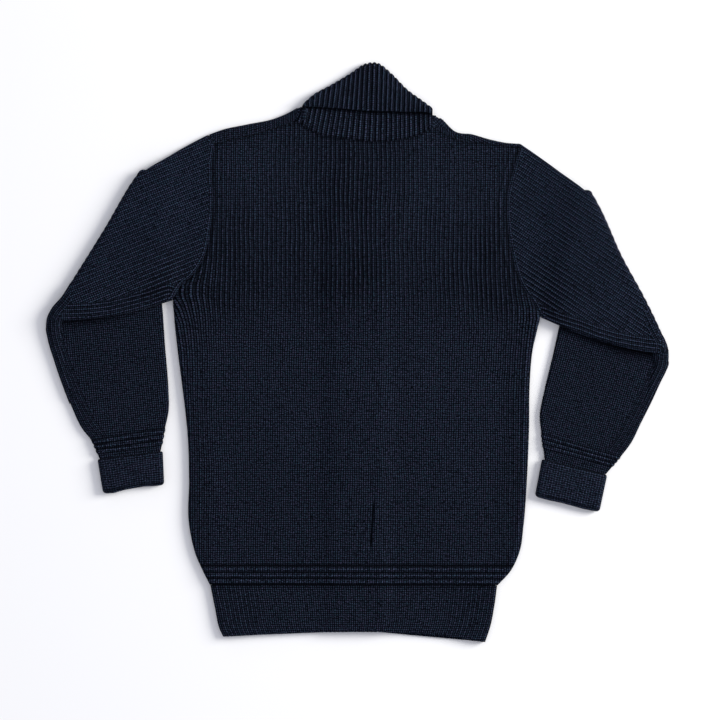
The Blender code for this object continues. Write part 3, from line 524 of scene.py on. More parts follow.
class Net:
    """Corners and faces of one knitted piece, with stitch places and shades.

    A row's stitch places are given by zone, since neighbouring zones may have ribs
    that run different ways.  A shade is the ribs' strength and half the tone; the tone holds
    painted light and shade as well as the cloth's own.
    """

    def __init__(self):
        self.points, self.shades, self.faces, self.places = [], [], [], []

    def line(self, points, at, stitch, shade=(0.0, 1.0), zone=0, closed=False):
        """One row of corners.  Corners that fall on the one before are merged with it."""
        count = len(points)
        fresh = np.concatenate([[True], np.diff(running(points)) > 1e-3])
        ids = (len(self.points) + np.cumsum(fresh) - 1).tolist()
        self.points.extend(points[fresh].tolist())
        self.shades.extend(np.broadcast_to(shade, (count, 2))[fresh].tolist())
        zone = np.broadcast_to(zone, (count,)).tolist()
        if closed:
            ids.append(ids[0])
            zone.append(zone[-1])
        return Line(ids, [one.tolist() for one in stitch], zone, list(at))

    def face(self, *corners):
        line, k = corners[0]
        zone = line.zone[k]
        ids, places = [], []
        for line, k in corners:
            if line.ids[k] not in ids:
                ids.append(line.ids[k])
                places.append(line.stitch[min(zone, len(line.stitch) - 1)][k])
        if len(ids) > 2:
            self.faces.append(ids)
            self.places.extend(places)

    def join(self, one, two):
        """Faces between two rows, which may have unlike numbers of corners."""
        if len(one.ids) == len(two.ids):
            for k in range(len(one.ids) - 1):
                self.face((one, k), (one, k + 1), (two, k + 1), (two, k))
            return
        i = j = 0
        while i < len(one.ids) - 1 or j < len(two.ids) - 1:
            next_one = one.at[i + 1] if i < len(one.ids) - 1 else math.inf
            next_two = two.at[j + 1] if j < len(two.ids) - 1 else math.inf
            if abs(next_one - next_two) < 1e-6:
                self.face((one, i), (one, i + 1), (two, j + 1), (two, j))
                i += 1
                j += 1
            elif next_one < next_two:
                self.face((one, i), (one, i + 1), (two, j))
                i += 1
            else:
                self.face((one, i), (two, j + 1), (two, j))
                j += 1

    def surface(self, lines):
        for one, two in zip(lines, lines[1:]):
            self.join(one, two)

    def column(self, lines, end, at):
        """The corners at one end of every row, as a row of their own."""
        stitch = [line.stitch[min(line.zone[end], len(line.stitch) - 1)][end] for line in lines]
        return Line([line.ids[end] for line in lines], [stitch], [0] * len(lines), list(at))

    def tube(self, outer, inner):
        """A wall that closes on itself sideways, with its two ends closed."""
        self.surface(outer)
        self.surface(inner)
        for end in (0, -1):
            self.join(outer[end], inner[end])

    def wall(self, outer, inner, outer_at=None, inner_at=None):
        """A wall with four edges, between its two faces."""
        outer_at = np.linspace(0, 1, len(outer)) if outer_at is None else outer_at
        inner_at = np.linspace(0, 1, len(inner)) if inner_at is None else inner_at
        self.surface(outer)
        self.surface(inner)
        for end in (0, -1):
            self.join(outer[end], inner[end])
            self.join(self.column(outer, end, outer_at), self.column(inner, end, inner_at))

    def roll(self, lines):
        """A closed roll of cloth, with a face over each end."""
        self.surface(lines)
        for line in (lines[0], lines[-1]):
            self.faces.append(line.ids[:-1])
            self.places.extend(line.stitch[0][:-1])

    def piece(self, name, material):
        mesh = bpy.data.meshes.new(name)
        mesh.from_pydata((np.array(self.points) * MM).tolist(), [], self.faces)
        corner = np.empty(len(mesh.loops), np.int32)
        mesh.loops.foreach_get("vertex_index", corner)
        stitch = mesh.uv_layers.new(name="stitch")
        stitch.data.foreach_set("uv", np.array(self.places, np.float32).ravel())
        shade = mesh.uv_layers.new(name="shade")
        shade.data.foreach_set("uv", np.array(self.shades, np.float32)[corner].ravel())
        bm = bmesh.new()
        bm.from_mesh(mesh)
        bmesh.ops.recalc_face_normals(bm, faces=bm.faces)
        bm.to_mesh(mesh)
        bm.free()
        piece = linked(name, mesh, material)
        mesh.set_sharp_from_angle(angle=SHARP)
        return piece


def flat_stitch(points):
    """Stitches that follow the floor's own x and y."""
    return [np.column_stack([points[:, 0] * 2 / RIB, points[:, 1] / COURSE])]


def flat_lines(net, rows, strength=0.3):
    """Plain rows of one surface."""
    return [net.line(*row, flat_stitch(row.points), (strength, 0.5)) for row in rows]


def around(stitch):
    """Stitch places of a closed row, which end where they start."""
    return [np.vstack([one, one[:1]]) for one in stitch]


# Back -----------------------------------------------------------------------------

Strip = namedtuple("Strip", "offsets width sines rolled")


def edged(middle, width, rolls=(1.0, 1.0), inner=False):
    """Offsets across a panel, with those that go round the edges that rolls switches on.

    At each offset, sines is the height up the rounding and rolled the share of it.
    """
    plain = SIDE_RADIUS * (1 - np.cos(SIDE_ANGLES))
    tucked = SIDE_RADIUS - (SIDE_RADIUS - WALL) * np.cos(SIDE_ANGLES)
    edges = [blend(plain, tucked, roll) if inner else plain for roll in rolls]
    offsets = np.concatenate([edges[0], middle, width - edges[1][::-1]])
    rising, flat = np.sin(SIDE_ANGLES), np.zeros(len(middle))
    sines = np.concatenate([rising, flat + 1, rising[::-1]])
    rolled = np.concatenate([rising * 0 + rolls[0], flat, rising * 0 + rolls[1]])
    return Strip(offsets, width, sines, rolled)


def edged_columns(columns, start, end, rolls=(1.0, 1.0), inner=False):
    """The same, from columns given as shares of the flat part between start and end."""
    width = math.dist(start, end)
    return edged(blend(SIDE_RADIUS, width - SIDE_RADIUS, columns), width, rolls, inner)


def side_roll(place):
    """1 where back and front meet in a rounded side edge, and 0 along an armhole."""
    return float(1 - smooth_step((place - UNDERARM) / (BODY_AT["armhole 2"] - UNDERARM)))


def side_puff(strip, rolls):
    """How much higher the cloth stands along a rounded side than in the middle."""
    left, right = strip.offsets - SIDE_RADIUS, strip.width - strip.offsets - SIDE_RADIUS
    left = smooth_step(1 - left / SIDE_PUFF_REACH) * rolls[0]
    right = smooth_step(1 - right / SIDE_PUFF_REACH) * rolls[1]
    return SIDE_PUFF * np.maximum(left, right)


def band_edge(side, y):
    """X of the seam between a front and its band, which opens into the neckline."""
    top_x, top_y = FRONT_NECK[side][0]
    start = CENTRE_X + side * BAND_WIDTH / 2
    return blend(start, top_x, np.clip((y - NECK_START_Y) / (top_y - NECK_START_Y), 0, 1))


def placket_bump(x, y):
    """How much the back rises over the doubled bands beneath it."""
    left = CENTRE_X - BAND_WIDTH / 2 - BUMP_MARGIN
    right = np.maximum(band_edge(1, y), CENTRE_X) + BUMP_MARGIN
    rise = smooth_step((x - left) / BUMP_SLOPE + 1) * smooth_step((right - x) / BUMP_SLOPE + 1)
    return BUMP_HEIGHT * rise * (1 - smooth_step((y - BUMP_END_Y) / BUMP_END_REACH))


def upper_row(points, strip, rolls, inner, relief=0.0):
    """A row of a panel of the top layer, with its height worked out."""
    top = TOP_FACE + side_puff(strip, rolls) + placket_bump(*points.T)
    top = top - WALL if inner else top + relief
    foot = SIDE_SEAM_Z + SIDE_SEAM_HALF_GAP
    height = blend(top, foot + (top - foot) * strip.sines, strip.rolled)
    return Row(np.column_stack([points, height]), strip.offsets / strip.width)


def body_ends(place):
    row = along(BODY_ROWS, place)[0]
    return row[:2], row[2:]


def body_end(place, side):
    return body_ends(place)[0 if side < 0 else 1]


def body_points(place, strip):
    """Plan points of a body row, bent towards the shoulder and neck line near the top."""
    share = (strip.offsets / strip.width)[:, None]
    points = blend(*body_ends(place), share)
    top = blend(*body_ends(1.0), share)
    points[:, 1] += (top_edge(top[:, 0]) - top[:, 1]) * towards_shoulder(place)
    return points


def welt_crest(distance):
    """How high on a cross ridge a place is, by its distance from the hem band."""
    half = WELT_PITCH * 0.42
    places = [WELT_PITCH * (k + 0.6) for k in range(WELTS)]
    return max(np.clip(1 - ((distance - at) / half) ** 2, 0, 1) for at in places)


def rib_strength(x, y):
    """How much the back's upright ribs stand out: most in the middle and at the underarms."""
    fade = smooth_step((y + 20) / 130)
    middle = near(x, y, -20, 130, 62, 240)
    left, right = near(x, y, -205, 115, 50, 75), near(x, y, 200, 90, 55, 80)
    flat = near(x, y, -160, 262, 50, 60) + 0.8 * near(x, y, 150, 255, 60, 60)
    return np.clip(fade * (0.7 + 0.35 * middle + 0.6 * left + 0.5 * right - 0.4 * flat), 0, 1)


def wander(x, y):
    """How far the ribs of the back stray sideways, since no hand-laid cloth is straight."""
    slow = np.sin(y / 41.0 + 1.3 * np.sin(x / 63.0)) + 0.6 * np.sin(y / 23.0 + x / 37.0 + 2.0)
    quick = np.sin(y / 8.3 + 2.1 * np.sin(x / 19.0) + x / 11.0)
    return 0.8 * slow + 0.28 * quick


def patches(x, y):
    """Uneven places where the ribs lie flatter, between 0 and 1."""
    first = np.sin(x / 21.0 + 1.7 * np.sin(y / 47.0))
    first = first * np.sin(y / 33.0 + 0.9 * np.sin(x / 39.0) + 1.1)
    second = np.sin(x / 9.7 + y / 31.0) * np.sin(y / 17.0 - x / 27.0)
    return np.clip(0.5 + 0.35 * first + 0.25 * second, 0, 1)


def ribs_at(x, y):
    """Where a rib lies lower down: the ribs follow the sides and fan out at the underarms."""
    left = np.interp(y, *LEFT_LEAN) * np.exp(-np.maximum(x + LEAN_EDGE_X, 0) / LEAN_REACH)
    right = np.interp(y, *RIGHT_LEAN) * np.exp(-np.maximum(LEAN_EDGE_X - x, 0) / LEAN_REACH)
    return x + left + right


def band_strength(x, y):
    """The ribs beside the edges of the back, which stay faintly visible all the way down."""
    beside = smooth_step((np.abs(ribs_at(x, y)) - 190) / 25)
    return 0.4 * beside * (1 - smooth_step((y - 110) / 60))


def back_tone(x, y, place, from_edge, roll, crest, braid):
    """Tone of the back: darker towards the hem and lighter towards the shoulders, with painted
    highlights and shade along its sides, painted shade at its seams, painted light and shade on
    the welts, and a painted shadow in the centre crease.
    """
    distance = place * BODY_LENGTH
    tone = 1.0 - 0.06 * smooth_step((-100 - y) / 120) + 0.14 * smooth_step((y - 60) / 120)
    # Painted highlight along each rounded side edge, with painted shade just inside it, stronger
    # on the right where the light falls: above the underarm, and again as a second strip below the
    # chest
    ridge = bell(from_edge, 3.6, 2.0) - 1.3 * bell(from_edge, 7.6, 1.3)
    tone = tone * (1 + ridge * np.where(x < 0, 0.25, 0.45) * smooth_step((y - 75) / 40))
    strip = bell(from_edge, 2.0, 2.4) - 1.2 * bell(from_edge, 6.4, 1.2)
    tone = tone * (1 + strip * np.where(x < 0, 0.2, 0.4) * (1 - smooth_step((y - 20) / 40)))
    # The welts get painted highlights on their crests and painted shade in the gaps between them,
    # with the loops of their braid along them
    braid_and_painted_light = (0.08 + 1.75 * crest**1.3 * (0.68 + 0.5 * braid)) * smooth_step((distance + 1) / 2)
    tone = blend(tone, braid_and_painted_light, 1 - smooth_step((distance - 32.5) / 2.5))
    # Painted shadow in the centre crease, with a painted highlight on its right lip
    tone = tone * np.clip(1 + creases(CREASE_SHADOW_LINES, x, y), 0.05, 1.5)
    # Painted shade in the seam gaps along the back's top edge and along the armholes
    top_seam = 0.5 * (1 - smooth_step((1 - place) / 0.006))
    side_seam_shade = 0.45 * (1 - smooth_step(from_edge / 2.5)) * (1 - roll)
    return tone * (1 - top_seam) * (1 - side_seam_shade)


def back_line(net, place):
    """A ribbed row of the back's face."""
    left, right = body_ends(place)
    width = math.dist(left, right)
    lattice = (BACK_LATTICE - left[0]) / (right[0] - left[0]) * width
    lattice = np.clip(lattice, EDGE_LATTICE[-1], width - EDGE_LATTICE[-1])
    middle = np.concatenate([EDGE_LATTICE, lattice, (width - EDGE_LATTICE)[::-1]])
    roll = side_roll(place)
    strip = edged(middle, width, (roll, roll))
    flat = strip.sines == 1
    points = body_points(place, strip)
    x, y = points.T
    distance = place * BODY_LENGTH
    crest = welt_crest(distance)
    wave = np.cos(TURN * (x / RIB - 0.75 * distance / WELT_PITCH))
    base = ribs_at(x, y)
    strength = np.maximum(rib_strength(x, y), band_strength(x, y)) * (1 - 0.35 * patches(x, y))
    relief = RIB_HEIGHT * strength * rib_wave(base / RIB) * flat
    relief = relief * smooth_step((distance - WELT_ZONE + 1) / 14)
    relief = relief + WELT_HEIGHT * crest * (0.75 + 0.25 * wave) * (1 - strip.rolled)
    relief = relief + creases(BACK_CREASES, x, y)
    row = upper_row(points, strip, (roll, roll), False, relief)
    from_edge = np.minimum(strip.offsets, width - strip.offsets) - SIDE_RADIUS
    steady = smooth_step(from_edge / 30) * smooth_step(distance / 40)
    row.points[:, 0] += wander(x, y) * steady * smooth_step((1 - place) / 0.05)
    tone = back_tone(x, y, place, from_edge, roll, crest, 0.5 + 0.5 * wave)
    shade = np.column_stack([np.maximum(strength, 0.05), tone / 2])
    return net.line(*row, [np.column_stack([2 * base / RIB + 1, y / COURSE])], shade)


def plain_columns(place):
    """Columns for a surface without ribs, close where it bends or borders the neck."""
    left, right = body_ends(place)
    inner_left, width = left[0] + SIDE_RADIUS, right[0] - left[0] - 2 * SIDE_RADIUS
    if place > BODY_AT["armhole 5"]:
        shoulders = BACK_CORNER[-1], NECK_LEFT, NECK_RIGHT, BACK_CORNER[1]
        counts = SHOULDER_COLUMNS, NECK_COLUMNS, SHOULDER_COLUMNS
        parts = [np.linspace(*shoulders[k : k + 2], counts[k], endpoint=k == 2) for k in range(3)]
        share = (np.concatenate(parts) - shoulders[0]) / (shoulders[3] - shoulders[0])
        x = blend(left[0], right[0], share)[1:-1]
    else:
        x = [left[0] + SIDE_COLUMNS, PLACKET_COLUMNS, right[0] - SIDE_COLUMNS[::-1]]
        x = np.concatenate(x)
    return np.concatenate([[0.0], (x - inner_left) / width, [1.0]])


def make_back(material):
    net = Net()
    low = np.arange(0, WELT_ZONE, WELT_ROW_STEP) / BODY_LENGTH
    high = np.linspace(WELT_ZONE / BODY_LENGTH, 1.0, BACK_ROWS)[:-1]
    outer_at = np.concatenate([low, high, [0.9985, 1.0]])
    outer = [back_line(net, place) for place in outer_at]
    rows = []
    for place in INNER_BODY_PLACES:
        rolls = [side_roll(place)] * 2
        strip = edged_columns(plain_columns(place), *body_ends(place), rolls, True)
        rows.append(upper_row(body_points(place, strip), strip, rolls, True))
    net.wall(outer, flat_lines(net, rows), outer_at, INNER_BODY_PLACES)
    return net.piece("knit_back", material)


# Fronts ---------------------------------------------------------------------------


def overlap_share(y):
    """1 where the right band lies on the left one, and 0 where they have parted."""
    return 1 - smooth_step((y - PARTING_Y) / PARTING_REACH)


def front_lift(side, x, y):
    """The right front climbs onto the left band next to the opening."""
    if side < 0:
        return np.zeros(len(x))
    return BAND_LEVEL * smooth_step(1 - (x - band_edge(side, y)) / BAND_SLOPE) * overlap_share(y)


def lower_row(side, points, strip, inner):
    """A row of a front or of its hem, on the floor and on the other band."""
    foot = SIDE_SEAM_Z - SIDE_SEAM_HALF_GAP
    face = WALL if inner else 0.0
    height = blend(face, foot - (foot - face) * strip.sines, strip.rolled)
    height = height + front_lift(side, *points.T) * (1 - strip.rolled)
    return Row(np.column_stack([points, height]), strip.offsets / strip.width)


def fold_corner(side):
    """The outer end of a shoulder's fold."""
    return SHOULDER_FOLD[side][0 if side < 0 else -1]


def front_line(side, place):
    """The ends of a front's row: its side or armhole edge, and the band seam."""
    edge = body_end(min(place, 1.0), side)
    if place > 1.0:
        fold = fold_corner(side)
        edge = fold + (edge - fold) * SHOULDER_RADIUS / (fold[1] - edge[1])
    y = blend(BODY_ROWS[0, 1], FRONT_NECK[side][0, 1], min(place, FRONT_TOP) / FRONT_TOP)
    return edge, np.array([band_edge(side, y) + side * SEAM_GAP, y])


def front_row(side, place, inner):
    """A row of the flat part of a front, with Row.at counted from its side edge."""
    edge, seam = front_line(side, place)
    strip = edged_columns(FRONT_COLUMNS, edge, seam, (side_roll(place), 0.0), inner)
    share = (strip.offsets / strip.width)[:, None]
    points = blend(edge, seam, share)
    top = blend(*front_line(side, FRONT_TOP), share)
    bend = height_on(SHOULDER_FOLD[side], top[:, 0]) - SHOULDER_RADIUS - top[:, 1]
    place = min(place, 1.0)
    points[:, 1] += bend * towards_shoulder(place) * place
    return lower_row(side, points, strip, inner)


def shoulder_rows(side, inner):
    """The rows where a front goes over the shoulder, down to its seam with the back."""
    flat = front_row(side, FRONT_TOP, inner)
    radius = SHOULDER_RADIUS - (WALL if inner else 0.0)
    rows = []
    for angle in SHOULDER_ANGLES:
        points = flat.points.copy()
        points[:, 1] += radius * math.sin(angle)
        points[:, 2] = SHOULDER_RADIUS - radius * math.cos(angle)
        rows.append(Row(points, flat.at))
    last = points.copy()
    neck_end = NECK_LEFT - 1.2 if side < 0 else NECK_RIGHT + 0.8
    last[:, 0] = blend(BACK_CORNER[side] - side * 0.3, neck_end, flat.at)
    last[:, 1] = top_edge(last[:, 0]) + SHOULDER_GAP
    return rows + [Row(blend(points, last, 0.5), flat.at), Row(last, flat.at)]


def make_front(side, name, material):
    low, high = np.linspace(0, UNDERARM, 64), np.linspace(UNDERARM, 1.0, 36)[1:]
    places = np.concatenate([low, high, [FRONT_TOP]])
    net = Net()
    faces = []
    for inside in (False, True):
        rows = [front_row(side, place, inside) for place in places] + shoulder_rows(side, inside)
        steps = [two.points - one.points for one, two in zip(rows, rows[1:])]
        travelled = np.cumsum(np.linalg.norm([steps[0] * 0] + steps, axis=2), axis=0)
        lines = []
        for row, length in zip(rows, travelled):
            stitch = np.column_stack([row.points[:, 0] * 2 / RIB, length / COURSE])
            lines.append(net.line(*row, [stitch], (0.35, 0.5)))
        faces.append(lines)
    net.wall(*faces)
    return net.piece(name, material)


# Hem bands ------------------------------------------------------------------------


def hem_ends(share):
    row = along(HEM, share)[0]
    return row[:2], row[2:]


def hem_points(share, strip):
    across = (strip.offsets / strip.width)[:, None]
    points = blend(*hem_ends(share), across)
    foot = blend(*hem_ends(1.0), across)
    points[:, 1] += (height_on(HEM_EDGE, foot[:, 0]) - foot[:, 1]) * share**2
    return points


def make_hem_back(material):
    net = Net()
    rolls = (1.0, 1.0)
    outer = []
    for share in np.linspace(0, 1, 30):
        strip = edged_columns(np.linspace(0, 1, 4 * HEM_WALES + 1), *hem_ends(share))
        points = hem_points(share, strip)
        wale = HEM_WALES * (strip.offsets - SIDE_RADIUS) / (strip.width - 2 * SIDE_RADIUS)
        ribs = 1 - smooth_step((np.minimum(wale, HEM_WALES - wale) - 14) / 10)
        relief = 0.35 * rib_wave(wale) + 0.3 * ribs * rib_wave(wale / 2)
        points[:, 1] -= 0.5 * rib_wave(wale / 2) * smooth_step((share - 0.93) / 0.07)
        row = upper_row(points, strip, rolls, False, relief * (1 - strip.rolled))
        # Painted shade along the seam with the back
        tone = 1 - 0.6 * bell(share, 0, 0.03)
        shade = np.column_stack([0.15 + 0.25 * ribs, np.full(len(ribs), tone / 2)])
        stitch = [np.column_stack([wale + 0.5, points[:, 1] / COURSE])]
        outer.append(net.line(*row, stitch, shade))
    rows = []
    for share in np.linspace(0, 1, 5):
        (left, _), (right, _) = hem_ends(share)
        x = np.array([left + SIDE_COLUMNS[0], *PLACKET_COLUMNS, right - SIDE_COLUMNS[0]])
        columns = (x - left - SIDE_RADIUS) / (right - left - 2 * SIDE_RADIUS)
        columns = np.concatenate([[0.0], columns, [1.0]])
        strip = edged_columns(columns, *hem_ends(share), rolls, True)
        rows.append(upper_row(hem_points(share, strip), strip, rolls, True))
    net.wall(outer, flat_lines(net, rows))
    return net.piece("knit_hem_back", material)


def make_hem_front(side, name, material):
    """The band below one front, from the side edge to the button band."""
    x = CENTRE_X + side * (BAND_WIDTH / 2 + SEAM_GAP)
    net = Net()
    faces = []
    for inner in (False, True):
        rows = []
        for share in np.linspace(0, 1, 24):
            edge = hem_ends(share)[0 if side < 0 else 1]
            seam = np.array([x, blend(HEM[0, 1], height_on(HEM_EDGE, x), share)])
            strip = edged_columns(FRONT_COLUMNS, edge, seam, (1.0, 0.0), inner)
            points = blend(edge, seam, (strip.offsets / strip.width)[:, None])
            rows.append(lower_row(side, points, strip, inner))
        faces.append(flat_lines(net, rows, 0.5))
    net.wall(*faces)
    return net.piece(name, material)


# Bands and buttons ----------------------------------------------------------------


def button_places():
    return np.linspace(BUTTON_LOWEST_Y, BUTTON_HIGHEST_Y, BUTTONS)


def band_plan(side, y):
    seam = band_edge(side, y)
    return np.linspace(seam, seam - side * BAND_WIDTH, BAND_COLUMNS)


def band_rows(side):
    """Plan points of a band: up the opening, along the neckline, and into the back's edge."""
    straight = band_plan(side, NECK_START_Y)
    rows = []
    for share in np.linspace(0, 1, 250):
        y = blend(height_on(HEM_EDGE, straight), NECK_START_Y, share)
        rows.append(np.column_stack([straight, y]))
    for y in np.linspace(NECK_START_Y, NECK_END_Y, 66)[1:]:
        rows.append(np.column_stack([band_plan(side, y), np.full(BAND_COLUMNS, y)]))
    top = band_plan(side, BAND_TOP_Y)
    top = np.column_stack([top, np.minimum(BAND_TOP_Y, top_edge(top) - SEAM_GAP)])
    return rows + [blend(rows[-1], top, share) for share in np.linspace(0, 1, 8)[1:]]


def make_band(side, name, material):
    """One front band, with hollows for the buttons where it lies on the floor."""
    net = Net()
    at = np.linspace(0, 1, BAND_COLUMNS)
    faces = []
    for top_face in (False, True):
        lines = []
        for points in band_rows(side):
            x, y = points.T
            height = np.full(BAND_COLUMNS, WALL if top_face else 0.0)
            if side > 0:
                height = height + BAND_LEVEL * overlap_share(y)
            elif not top_face:
                for place in button_places():
                    edge = np.hypot(x - CENTRE_X, y - place) - BUTTON_RADIUS - POCKET_MARGIN
                    height = np.maximum(height, POCKET_DEPTH * (1 - smooth_step(edge / 2.0)))
            stitch = [np.column_stack([at * 2 * BAND_WIDTH / RIB, y / COURSE])]
            lines.append(net.line(np.column_stack([points, height]), at, stitch, (0.6, 0.5)))
        faces.append(lines)
    net.wall(*faces)
    return net.piece(name, material)


def button_section():
    """The button's section, closer where the holes are."""
    dense = []
    for (r0, z0), (r1, z1) in zip(BUTTON_SECTION, BUTTON_SECTION[1:]):
        pieces = max(1, int(abs(r1 - r0) / 0.3)) if max(r0, r1) < 6.1 and z0 < 1 else 2
        dense += [(blend(r0, r1, k / pieces), blend(z0, z1, k / pieces)) for k in range(pieces)]
    return dense + [BUTTON_SECTION[-1]]


def make_button(name, y, material, thread):
    """A turned button with a raised rim, four holes and the sewing thread in them."""
    bm = bmesh.new()
    rings = []
    for radius, height in button_section():
        ring = []
        for turn in turns(BUTTON_TURNS) if radius > 1e-6 else turns(1):
            px, py = radius * math.cos(turn), radius * math.sin(turn)
            away = math.hypot(abs(px) - HOLE_OFFSET, abs(py) - HOLE_OFFSET)
            pit = float(1 - smooth_step((away - HOLE_RADIUS + 0.3) / 0.4)) * (height < 1.2)
            ring.append(bm.verts.new(((CENTRE_X + px) * MM, (y + py) * MM, (height + pit) * MM)))
        rings.append(ring)
    skin(bm, rings, capped=False)
    button = turned_piece(name, bm, material)
    strands = bmesh.new()
    for sign in (-1, 1):
        for shift in (-THREAD_SHIFT, THREAD_SHIFT):
            add_strand(strands, CENTRE_X + sign * HOLE_OFFSET + shift, y)
    return button, turned_piece(f"{name}_thread", strands, thread)


def add_strand(bm, x, y):
    """One thread that bridges two holes just under the button's face."""
    rings = []
    for spot in np.linspace(-1, 1, 13):
        centre = np.array([x, y + spot * THREAD_REACH, THREAD_DEPTH + THREAD_DIP * spot**6])
        tilt = THREAD_DIP * 6 * spot**5 / THREAD_REACH
        flat = 1 / math.hypot(1, tilt)
        ring = []
        for turn in turns(8):
            wide, tall = THREAD_RADIUS * math.cos(turn), THREAD_RADIUS * math.sin(turn) * flat
            ring.append(bm.verts.new((centre + np.array([wide, -tall * tilt, tall])) * MM))
        rings.append(ring)
    skin(bm, rings)


# Sleeves --------------------------------------------------------------------------


def armhole_curve(side):
    """The sleeve's edge along the armhole, from the shoulder fold to the underarm."""
    places = np.linspace(UNDERARM, 1.0, 40)[::-1]
    rows = np.array([fold_corner(side)] + [body_end(place, side) for place in places])
    rows[:, 0] += side * (SEAM_GAP + 0.2)
    return np.vstack([rows, rows[-1] + np.array([side * 3.2, -1.5])])


def sleeve_curves(side):
    """The armhole, the axis that the sleeve folds round, and the way out from the axis."""
    armhole = armhole_curve(side)
    crease = along(ELBOW_CREASE[side], np.linspace(0, 1, 25))
    inward = sideways(directions(crease))
    if ((armhole.mean(axis=0) - crease.mean(axis=0)) * inward.mean(axis=0)).sum() < 0:
        inward = -inward
    return armhole, crease + FOLD_RADIUS * inward, -inward


SLEEVE_CURVES = {side: sleeve_curves(side) for side in (-1, 1)}


def trimmed(share, length):
    """The share along a line whose two ends are kept clear for the rounded edges."""
    return (TUBE_HALF + share * (length - 2 * TUBE_HALF)) / length


class Station:
    """One ring of a sleeve: its middle line, and which way its first face looks."""

    def __init__(self, middle, normal):
        self.middle = middle
        self.normal = normal

    def loop(self, half, first, second, raised_first=0.0, raised_second=0.0):
        """The ring at a distance half from the middle line, first face first."""
        back = second[::-1]
        high = half + np.broadcast_to(raised_first, first.shape)
        low = half + np.broadcast_to(raised_second, second.shape)[::-1]
        start, end = self.middle(np.array([0.0, 0.05])), self.middle(np.array([0.95, 1.0]))
        out_start = (start[0] - start[1]) / np.linalg.norm(start[0] - start[1])
        out_end = (end[1] - end[0]) / np.linalg.norm(end[1] - end[0])
        turn = np.radians([45, 90, 135])[:, None]
        up_start, up_end = self.normal(np.array([0.0, 1.0]))
        points = [
            self.middle(first) + self.normal(first) * high[:, None],
            end[1] + half * (np.cos(turn) * up_end + np.sin(turn) * out_end),
            self.middle(back) - self.normal(back) * low[:, None],
            start[0] + half * (-np.cos(turn) * up_start + np.sin(turn) * out_start),
        ]
        ends = [0.425, 0.45, 0.475], [0.925, 0.95, 0.975, 1.0]
        at = np.concatenate([first * 0.4, ends[0], 0.5 + (1 - back) * 0.4, ends[1]])
        return Row(np.concatenate(points), at)


def facing(direction):
    """A normal that is the same all along a station."""
    return lambda share: np.tile(direction, (len(share), 1))


def lift_share(side, points, station):
    """1 where the upper arm lies on the forearm, and 0 where it lies on the floor."""
    line = np.vstack([ELBOW_CREASE[side][:1], FOREARM[side][:3, :2]])[::-1]
    beyond = -side * (points[:, 0] - np.interp(points[:, 1], line[:, 1], line[:, 0]))
    rise = (points[:, 1] - line[0, 1]) / (line[-1, 1] - line[0, 1])
    width = blend(LIFT_WIDTH_LOW, LIFT_WIDTH_HIGH, smooth_step(rise))
    share = 1 - smooth_step((beyond - 1.0) / width)
    return np.maximum(share, smooth_step((station - 0.8) / 0.2))


def corner_fill(side, s):
    """How far the cloth fills out the sleeve's upper outer corner."""
    return (1 - smooth_step(s / 0.16))[:, None] * CORNER_FILL * np.array([-side * 0.45, 0.89])


def span(line):
    return np.linalg.norm(line[-1] - line[0])


def upper_station(side, t):
    """A ring of the upper arm, at the share t of the way from the armhole to the fold."""
    armhole, axis, _ = SLEEVE_CURVES[side]

    def middle(share):
        s = trimmed(share, blend(span(armhole), span(axis), t))
        points = blend(on_line(armhole, s), on_line(axis, s), t)
        points[:, 1] += 4 * t * (1 - t) * (TOP_EDGE_RISE * (1 - s) - LOWER_EDGE_SAG * s)
        height = TUBE_HALF + FOLD_LIFT * lift_share(side, points, t)
        points = points + corner_fill(side, s) * smooth_step((t - 0.55) / 0.45)
        return np.column_stack([points, height])

    return Station(middle, facing((0.0, 0.0, 1.0)))


def fold_station(side, angle):
    """A ring on its way round the elbow's fold."""
    _, axis, outward = SLEEVE_CURVES[side]

    def normal(share):
        flat = on_line(np.column_stack([axis, outward]), trimmed(share, span(axis)))[:, 2:]
        flat = flat / np.linalg.norm(flat, axis=1)[:, None]
        return np.column_stack([flat * math.cos(angle), np.full(len(flat), math.sin(angle))])

    def middle(share):
        s = trimmed(share, span(axis))
        points = on_line(axis, s) + corner_fill(side, s) * max(math.sin(angle), 0.0)
        level = np.column_stack([points, np.full(len(points), FOLD_RADIUS)])
        return level + FOLD_MID_RADIUS * normal(share)

    return Station(middle, normal)


def lower_station(side, ring):
    """A ring of the forearm, which lies on the floor with its face down."""
    axis = SLEEVE_CURVES[side][1]
    inner, outer, bow = ring[:2], ring[2:4], ring[4]

    def middle(share):
        s = trimmed(share, np.linalg.norm(outer - inner))
        curved = on_line(axis, s) - blend(axis[0], axis[-1], s[:, None])
        points = blend(inner, outer, s[:, None]) + curved * bow
        return np.column_stack([points, np.full(len(points), TUBE_HALF)])

    return Station(middle, facing((0.0, 0.0, -1.0)))


def below_fold(side, x, y):
    """How far a place of the forearm is below the upper arm's lower edge."""
    return np.interp(x, *FOLD_LINE[side].T) - y


